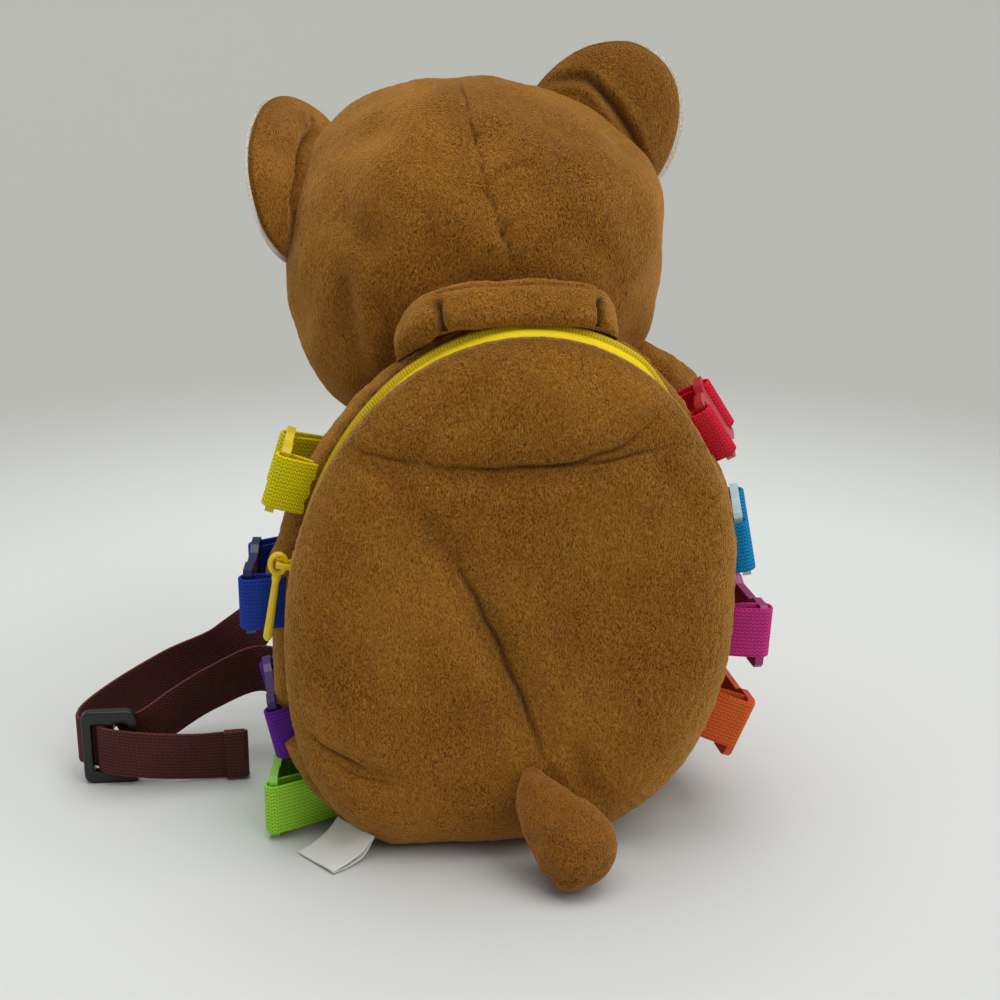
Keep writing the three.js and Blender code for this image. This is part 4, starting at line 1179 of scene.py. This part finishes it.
def limb_surface(rows, sideways, seed):
    """Stuffed limb: an oval carried along a smooth line and rounded off at its tip, with painted shade in its
    seam.
    """
    count, columns = LIMB_GRID
    table = smooth_path(rows, count)
    centre, radii = table[:, :3], table[:, 3:]
    along, side, over = path_frame(centre, np.array(sideways, float))
    length = run_length(centre)
    left = (length[-1] - length) / radii[-1].mean()
    radii = radii * np.sqrt(1 - np.clip(1 - left, 0, LIMB_TIP) ** 2)[:, None]
    turn = turns(columns)
    ring = np.cos(turn)[None, :, None] * side[:, None] * radii[:, None, :1]
    ring = ring + np.sin(turn)[None, :, None] * over[:, None] * radii[:, None, 1:2]
    points = centre[:, None] + ring
    body = np.minimum(left, 1)[:, None]
    # Painted shade follows the seam's groove
    at, width, deep, dark = LIMB_SEAM
    seam = bell(np.angle(np.exp(1j * (turn - at)))[None, :], width) * body
    push = swelling(points, LIMB_SWELL, seed) * body - deep * seam + fuzz(points, seed + 2)
    points = points + unit(ring) * push[..., None]
    points[..., 2] = np.maximum(points[..., 2], LIMB_FLOOR)
    return points, dark * seam


def handle_surface():
    """Padded band: a rounded flat section along an arch; a groove parts its rolled rim from the sunk face,
    with painted shade in it.
    """
    count, columns = HANDLE_GRID
    table = smooth_path(HANDLE, count)
    centre = table[:, :3]
    lean = np.radians(table[:, 3])
    along, edge, face = path_frame(centre, triple(0, np.cos(lean), np.sin(lean)))
    turn = turns(columns)[None, :]
    a = table[:, 4:5] / 2 * bent(np.cos(turn), HANDLE_POWERS[0])
    b = table[:, 5:6] / 2 * bent(np.sin(turn), HANDLE_POWERS[1])
    middle, half, top = HANDLE_FACE
    outer, inner = HANDLE_ENDS
    beside = np.abs(centre[:, :1] - middle)
    rim = np.maximum((beside - half) * HANDLE_CORNER, a - top)
    level, fade = HANDLE_UPPER
    ends = smoothstep(beside, half - outer, half - inner) * smoothstep(level - a, 0, fade)
    deep, reach, faint = HANDLE_GROOVE
    groove = smoothstep(b, *HANDLE_FRONT) * bell(rim, reach) * lerp(faint, 1.0, ends)
    b = b - groove * deep
    points = centre[:, None] + a[..., None] * edge[:, None] + b[..., None] * face[:, None]
    push = swelling(points, HANDLE_SWELL, HANDLE_SEED) + fuzz(points, HANDLE_SEED + 2)
    # The groove is painted in shade
    return points + grid_normals(points) * push[..., None], np.clip(HANDLE_DARK * groove, 0, 1)


def strip_section(width):
    """Rounded flat section of webbing: places across and through it, once round."""
    half = width / 2 - WEB_THICK / 2
    top = np.linspace(-half, half, WEB_FLATS)
    flat = np.full(WEB_FLATS, 0.5)
    bend = np.linspace(0.5, -0.5, 6)[1:-1] * math.pi
    edge = half + WEB_THICK / 2 * np.cos(bend)
    across = np.concatenate([top, edge, top[::-1], -edge])
    through = np.concatenate([flat, np.sin(bend) / 2, -flat, -np.sin(bend) / 2])
    return across, through * WEB_THICK


def strip_surface(centre, sideways, width=WEB_WIDTH):
    """Webbing: the rounded flat section carried along a path; the layer keeps places across and along it."""
    along, edge, face = path_frame(centre, sideways)
    across, through = strip_section(width)
    points = centre[:, None] + across[None, :, None] * edge[:, None] + through[None, :, None] * face[:, None]
    return points, triple(across[None, :], run_length(centre)[:, None], 0.0)


def even_path(points, count):
    """Points spaced evenly along a polyline."""
    length = run_length(points)
    places = np.linspace(0, length[-1], count)
    return np.stack([np.interp(places, length, column) for column in points.T], -1)


def loop_surface(root, bar, across):
    """Webbing folded round a bar: out from the seam, half round the bar and back, each leg bowed a little."""
    legs, bends, count = LOOP_POINTS
    reach = bar - root
    length = np.linalg.norm(reach)
    outward = reach / length
    aside = np.cross(across, outward)
    leg = np.linspace(0, 1, legs)
    out = length * leg
    narrow, power = LOOP_ROOT
    spread = lerp(narrow, LOOP_ROUND, leg ** power) + LOOP_BOW * np.sin(math.pi * leg)
    bend = np.linspace(-0.5, 0.5, bends)[1:-1] * math.pi
    plan_out = np.concatenate([out, length + LOOP_ROUND * np.cos(bend), out[::-1]])
    plan_aside = np.concatenate([-spread, LOOP_ROUND * np.sin(bend), spread[::-1]])
    plan = even_path(np.stack([plan_out, plan_aside], -1), count)
    centre = root + plan[:, :1] * outward + plan[:, 1:] * aside
    return strip_surface(centre, np.broadcast_to(across, centre.shape))


def zip_surface():
    """Zip: flat tapes on both sides of a ribbed coil, carried along the seam; the layer holds painted shade
    over the coil, in its gaps and on the tape beyond it.
    """
    count, columns = ZIP_GRID
    angle = np.radians(np.linspace(ZIP_FROM, ZIP_TO, count))[:, None]
    along = np.linspace(0, ZIP_WIDTH, columns)[None, :]
    middle = COIL_MIDDLE + COIL_SHIFT * smoothstep(np.sin(angle), *COIL_TOP)
    offset = np.abs(along - middle)
    crest, fall, power = COIL_ARCH
    recess = zip_recess(angle)
    run = run_length(gusset_point(angle, COIL_MIDDLE + 0 * angle, recess)[:, 0])[:, None]
    phase = run / COIL_PITCH + np.where(along > middle, 0.5, 0.0)
    furrow, sharp = COIL_RIB
    rib = 1 - np.abs(np.sin(math.pi * phase)) ** sharp
    coil = crest + fall * (offset / COIL_HALF) ** power + furrow * rib
    tape = np.interp(offset, *TAPE_LEVELS)
    inset = np.where(offset < COIL_HALF, np.minimum(coil, TAPE_LEVELS[1][0]), tape)
    face = gusset_point(angle, GAP / 2 + along, inset + recess)
    back = gusset_point(angle, GAP / 2 + along[:, ::-9], TAPE_BACK + recess)
    # Painted shade: in the gap beside the coil, on the tape beyond it, and over the coil, most in the furrows
    # between its ribs
    gap_shade, gap_at, gap_reach = COIL_GAP
    gap = gap_shade * bell(offset - COIL_HALF - gap_at, gap_reach)
    far_tape_shade = TAPE_DARK * smoothstep(along - middle, COIL_HALF, COIL_HALF + 1)
    least, more = COIL_DARK
    coil_shade = smoothstep(COIL_HALF - offset, 0, 0.4) * (least + more * rib)
    places = triple(along, run, np.maximum(coil_shade, np.maximum(gap, far_tape_shade)))
    plain = np.zeros((*back.shape[:2], 3))
    return np.concatenate([face, back], 1), np.concatenate([places, plain], 1)


def rounded(node, slot):
    """Moulded piece: welded, with its edges rounded, in the material of its slot."""
    modify(node, "weld", "WELD", merge_threshold=WELD_REACH)
    width = bpy.context.scene.bear_sizes.edge
    modify(node, "round", "BEVEL", width=width, segments=EDGE_STEPS, limit_method="ANGLE",
           angle_limit=EDGE_ANGLE, harden_normals=True)
    dress(node, slot)


# Operators

class BuildStep(bpy.types.Operator):
    """One step of the bag"""
    bl_options = {"REGISTER", "UNDO"}

    def execute(self, context):
        self.build()
        return {"FINISHED"}


class BEAR_OT_pouch(BuildStep):
    """Back panel, side wall and belly panel of the pouch"""
    bl_idname = "bear.pouch"
    bl_label = "Pouch"

    def build(self):
        back = pouch_panel(back_point, BACK_GRID, PANEL_CREASES, BACK_SEED)
        sew("back_cloth", back, "plush", "back_panel", PANEL_FILL)
        sew("side_wall", gusset_band(), "plush", "gusset", PANEL_FILL, joined=True)
        belly = pouch_panel(belly_point, BELLY_GRID, (), BELLY_SEED)
        sew("belly_cloth", belly, "plush", "belly_panel", PANEL_FILL)


class BEAR_OT_zip(BuildStep):
    """Zip with its slider and moulded pull"""
    bl_idname = "bear.zip"
    bl_label = "Zip"

    def build(self):
        weave("zip_coil", zip_surface(), "zip", "zip_tape")
        rounded(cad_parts["zip_slider"], "zip_hardware")
        columns, sides, steps = PULL_GRID
        turn = turns(columns)[:, None]
        spin = turns(sides)[None, :]
        wire = PULL_WIRE * np.cos(spin)
        high = PULL_HIGH * PULL_WIRE * np.sin(spin)
        wide, tall = ((radius + wire) * way for radius, way in zip(PULL_RING, (np.cos(turn), np.sin(turn))))
        ring = self.hung(triple(wide, high, tall + PULL_RAISE))
        place(skin("pull_ring", ring, joined=True), "zip_pull", "zip_hardware", "zip_pull")
        rows = smooth_path([(0, 0, level, radius) for level, radius in PULL_STICK], steps)
        cap = np.sqrt(np.clip((rows[:, 2] - rows[-1, 2]) / PULL_STICK[-1][1], 0.01, 1))
        wide = (rows[:, 3] * cap)[:, None]
        stick = self.hung(triple(wide * np.cos(spin), PULL_FLAT * wide * np.sin(spin), rows[:, 2:3]))
        place(skin("pull_stick", stick), "zip_pull", "zip_hardware")

    def hung(self, points):
        """From the pull's own frame to the bag's: leaning about Y and moved to the bail."""
        c, s = math.cos(PULL_LEAN), math.sin(PULL_LEAN)
        turned = np.array([[c, 0, s], [0, 1, 0], [-s, 0, c]])
        return points @ turned.T + np.array(PULL_AT)


class BEAR_OT_head(BuildStep):
    """Head with its ears and their cream linings"""
    bl_idname = "bear.head"
    bl_label = "Head and ears"

    def build(self):
        sew("head_cloth", head_surface(), "plush", "head", HEAD_FILL, pouch_form())
        core = head_core(-SEWN_IN)
        for name, side, at, lean, fold, chord, tuck, shift, painted_ear_shade in EARS:
            turned, origin = ear_frame(side, at, lean, fold)
            points, crease = ear_disc(chord, EAR_HEIGHT, EAR_FRONT, EAR_BACK, 0, (tuck,), EAR_SEED)
            # Painted shade over the whole ear, heavier on the right ear
            ear = (to_bag(points @ turned + origin), np.clip(crease + painted_ear_shade, 0, 1))
            sew(f"ear_cloth_{name}", ear, "plush", f"ear_{name}", EAR_FILL, core)
            form = (chord + LINING_SPILL, EAR_HEIGHT + LINING_SPILL, LINING_THICK)
            points, crease = ear_disc(*form, 0, EAR_FRONT + GAP, (), LINING_SEED)
            points = points + np.array((*shift, 0))
            lining = (to_bag(points @ turned + origin), crease * 0)
            sew(f"lining_{name}", lining, "cream_plush", f"ear_lining_{name}", LINING_FILL, core)


class BEAR_OT_face(BuildStep):
    """Plain muzzle, nose and eyes"""
    bl_idname = "bear.face"
    bl_label = "Face"

    def build(self):
        centre, radii, power = MUZZLE
        points = ball(radii, power, CORE_GRID)
        push = fuzz(points, MUZZLE_SEED) + swelling(points, MUZZLE_SWELL, MUZZLE_SEED + 1)
        points += unit(points) * push[..., None]
        muzzle = (to_bag(points + np.array(centre)), np.zeros(points.shape[:2]))
        sew("muzzle_cloth", muzzle, "cream_plush", "muzzle", MUZZLE_FILL, head_core(GAP))
        centre, radii, power = NOSE
        nose = ball(radii, power, BUTTON_GRID)
        nose[..., 0] *= 1 + NOSE_WIDENING * nose[..., 2] / radii[2]
        place(skin("nose_button", to_bag(nose + np.array(centre))), "bag", "face", "nose")
        centre, radii, power = EYE
        for name, side in (("left", -1), ("right", 1)):
            eye = ball(radii, power, BUTTON_GRID) + np.array(centre) * (side, 1, 1)
            place(skin(f"eye_button_{name}", to_bag(eye)), "bag", "face", f"eye_{name}")


class BEAR_OT_limbs(BuildStep):
    """Arms and tail"""
    bl_idname = "bear.limbs"
    bl_label = "Arms and tail"

    def build(self):
        seats = (pouch_form(), head_core(GAP))
        for name, rows, sideways, slot, seed in LIMBS:
            limb = limb_surface(rows, sideways, seed)
            sew(f"{name}_cloth", limb, slot, name, LIMB_FILL, *seats)


class BEAR_OT_handle(BuildStep):
    """Padded carrying handle"""
    bl_idname = "bear.handle"
    bl_label = "Handle"

    def build(self):
        sew("handle_cloth", handle_surface(), "plush", "handle", HANDLE_FILL, pouch_form())


class BEAR_OT_buckles(BuildStep):
    """Eight fastened buckles with their webbing"""
    bl_idname = "bear.buckles"
    bl_label = "Buckles"

    def build(self):
        for name, turn, direction, back, reach, tab in BUCKLES:
            angle = np.array(math.radians(turn))
            aim, swing = math.radians(direction), math.radians(back)
            outward = np.array([math.cos(aim), 0, math.sin(aim)])
            across = np.array([-math.sin(aim), 0, math.cos(aim)])
            flap = outward * math.cos(swing) - np.array([0, math.sin(swing), 0])
            foot = gusset_point(angle, np.array(LOOP_Y - BACK_SEAM_Y), 0)
            back_bar = foot + flap * reach
            front_seam = gusset_point(angle, gusset_depth(angle), 0)
            level = (front_seam - foot) @ outward
            front_bar = foot + outward * (max(level, TAB_DROP) + tab)
            front_bar[1] = min(front_seam[1] - TAB_SLANT, back_bar[1] + BUCKLE_LONGEST)
            tab_root = foot + outward * (level - SEWN_IN)
            tab_root[1] = front_seam[1]
            for kind, root, bar in (("loop", foot - flap * SEWN_IN, back_bar), ("tab", tab_root, front_bar)):
                loop = loop_surface(root, bar, across)
                weave(f"{kind}_web_{name}", loop, f"webbing_{name}", f"{kind}_{name}")
            rounded(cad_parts[f"buckle_{name}"], f"plastic_{name}")


class BEAR_OT_straps(BuildStep):
    """Shoulder straps with hems and ladder locks"""
    bl_idname = "bear.straps"
    bl_label = "Straps"

    def build(self):
        for name, rows in STRAPS.items():
            upright = [(*row, *(0,) * (5 - len(row)), 1) for row in rows]
            table = smooth_path(upright, STRAP_STEPS * len(rows))
            weave(f"{name}_web", strip_surface(table[:, :3], table[:, 3:]), "strap", name)
            if "base" not in name:
                self.hem(name, table)
        for side in ("left", "right"):
            self.moulded(f"ladder_lock_{side}")

    def moulded(self, name):
        """Thick soft-edged lock: its solid's skin pushed out, rebuilt as one surface and smoothed."""
        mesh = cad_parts[name].data.copy()
        mesh.name = f"{name}_moulding"
        made = bpy.data.objects.new(mesh.name, mesh)
        bpy.context.scene.collection.objects.link(made)
        factor, times = LOCK_SOFTER
        modify(made, "weld", "WELD", merge_threshold=WELD_REACH)
        modify(made, "fuller", "DISPLACE", strength=LOCK_FULLER * MM, mid_level=0)
        modify(made, "rebuilt", "REMESH", mode="VOXEL", voxel_size=LOCK_GRAIN * MM, use_smooth_shade=True)
        modify(made, "softer", "SMOOTH", factor=factor, iterations=times)
        settle_modifiers(made)
        place(made, "bag", "lock", name)

    def hem(self, name, table):
        """End of the webbing turned back: one strip folded round the end and lying on both its faces."""
        end = table[-HEM_POINTS:]
        along, edge, face = path_frame(end[:, :3], end[:, 3:])
        length = run_length(end[:, :3])
        kept = length[-1] - length <= HEM_LENGTH
        step = WEB_THICK + HEM_LIFT
        over = end[kept, :3] + face[kept] * step
        under = end[kept, :3] - face[kept] * step
        tip = end[-1, :3] + along[-1] * step * HEM_ROUND
        path = even_path(np.concatenate([over, tip[None], under[::-1]]), HEM_POINTS)
        sideways = np.broadcast_to(edge[-1], path.shape)
        weave(f"{name}_hem", strip_surface(path, sideways, WEB_WIDTH - HEM_NARROWER), "strap")


class BEAR_OT_label(BuildStep):
    """Blank sewn-in label, folded over on itself"""
    bl_idname = "bear.label"
    bl_label = "Label"

    def build(self):
        steps, count, columns = LABEL_GRID
        table = smooth_path(LABEL, steps)
        along, edge, face = path_frame(table[:, :3], table[:, 3:])
        lift = face * np.sign(face[:, 2:])
        least, more = LABEL_RISE
        rise = least + more * np.sin(np.linspace(0, 1, steps) * math.pi)[:, None]
        upper = table[:, :3] + lift * rise
        lower = table[:, :3] - lift * LABEL_LIE
        tip = table[-1:, :3] + along[-1:] * LABEL_TIP
        path = even_path(np.concatenate([lower, tip, upper[::-1]]), count)
        width = np.linspace(-0.5, 0.5, columns) * LABEL_WIDTH
        points = path[:, None] + width[None, :, None] * unit(np.array(LABEL[-1][3:], float))
        points[..., 2] += swelling(points, LABEL_WAVES, LABEL_SEED)
        points[..., 2] = np.maximum(points[..., 2], LABEL_THICK)
        length = run_length(path)
        quads = grid_faces(count, columns).reshape(count - 1, columns, 4)[:, :-1].reshape(-1, 4)
        layers = {"weave": triple(width[None, :], length[:, None], 0.0).reshape(-1, 3)}
        made = add_mesh("label_tape", points.reshape(-1, 3), quads, np.zeros((0, 3), int), layers)
        modify(made, "cloth", "SOLIDIFY", thickness=LABEL_THICK * MM, offset=0)
        place(made, "bag", "label", "care_label")


class BEAR_OT_stage(BuildStep):
    """Floor, soft lights and camera"""
    bl_idname = "bear.stage"
    bl_label = "Stage"

    def build(self):
        colours = bpy.context.scene.bear_colours
        steps, columns = STAGE_GRID
        bend = np.linspace(0, math.pi / 2, steps)
        radius = STAGE_FLAT + STAGE_BEND * np.sin(bend)
        radius = np.concatenate([[STAGE_MIDDLE], radius, radius[-1:]])[:, None]
        level = np.concatenate([[0.0], STAGE_BEND * (1 - np.cos(bend)), [STAGE_WALL]])[:, None]
        turn = turns(columns)
        points = triple(radius * np.cos(turn), radius * np.sin(turn), level).reshape(-1, 3)
        points = np.vstack([points, np.zeros(3)])
        here = np.arange(len(turn))
        middle = np.stack([np.full(len(turn), len(points) - 1), here, (here + 1) % len(turn)], -1)
        floor = add_mesh("floor", points, grid_faces(len(radius), len(turn)), middle, {})
        floor.data.materials.append(stage_material("paper", colours.floor, colours.shaded_far_floor))
        target = np.array(CAMERA_TARGET) * MM
        for name, at, spread, power in LIGHTS:
            data = bpy.data.lights.new(name, "SUN")
            data.angle = math.radians(spread)
            data.energy = power
            self.aim(bpy.data.objects.new(name, data), np.array(at), target)
        world = bpy.data.worlds.new("studio")
        world.use_nodes = True
        background = world.node_tree.nodes["Background"]
        background.inputs["Color"].default_value = (1.0, 1.0, 1.0, 1.0)
        background.inputs["Strength"].default_value = WORLD_LIGHT
        bpy.context.scene.world = world
        bpy.context.scene.view_settings.view_transform = "Standard"
        data = bpy.data.cameras.new("camera")
        data.sensor_width = SENSOR
        data.lens = CAMERA_LENS
        data.clip_end = FARTHEST
        flat = math.cos(CAMERA_RISE)
        way = np.array([math.sin(CAMERA_TURN) * flat, -math.cos(CAMERA_TURN) * flat, math.sin(CAMERA_RISE)])
        camera = bpy.data.objects.new("camera", data)
        self.aim(camera, target + way * CAMERA_DISTANCE * MM, target)
        bpy.context.scene.camera = camera

    def aim(self, made, at, target):
        """Places a light or the camera so that it looks at the target with its own Y upward."""
        back = unit(at - target)
        right = unit(np.cross((0, 0, 1), back))
        up = np.cross(back, right)
        matrix = np.eye(4)
        matrix[:3, :3] = np.stack([right, up, back], 1)
        matrix[:3, 3] = at
        bpy.context.scene.collection.objects.link(made)
        made.matrix_world = Matrix(matrix.tolist())


STEPS = (
    BEAR_OT_pouch, BEAR_OT_zip, BEAR_OT_head, BEAR_OT_face, BEAR_OT_limbs, BEAR_OT_handle,
    BEAR_OT_buckles, BEAR_OT_straps, BEAR_OT_label, BEAR_OT_stage,
)


class BEAR_PT_steps(bpy.types.Panel):
    """Steps of the bag in the sidebar"""
    bl_idname = "BEAR_PT_steps"
    bl_label = "Plush bear backpack"
    bl_space_type = "VIEW_3D"
    bl_region_type = "UI"
    bl_category = "Bear"

    def draw(self, context):
        for step in STEPS:
            self.layout.operator(step.bl_idname)


CLASSES = (BearColours, BearSizes, *STEPS, BEAR_PT_steps)


def register():
    for kind in CLASSES:
        bpy.utils.register_class(kind)
    bpy.types.Scene.bear_colours = bpy.props.PointerProperty(type=BearColours)
    bpy.types.Scene.bear_sizes = bpy.props.PointerProperty(type=BearSizes)


def unregister():
    del bpy.types.Scene.bear_sizes
    del bpy.types.Scene.bear_colours
    for kind in reversed(CLASSES):
        bpy.utils.unregister_class(kind)


def main():
    register()
    for step in STEPS:
        family, name = step.bl_idname.split(".")
        getattr(getattr(bpy.ops, family), name)()


if __name__ == "__main__":
    main()
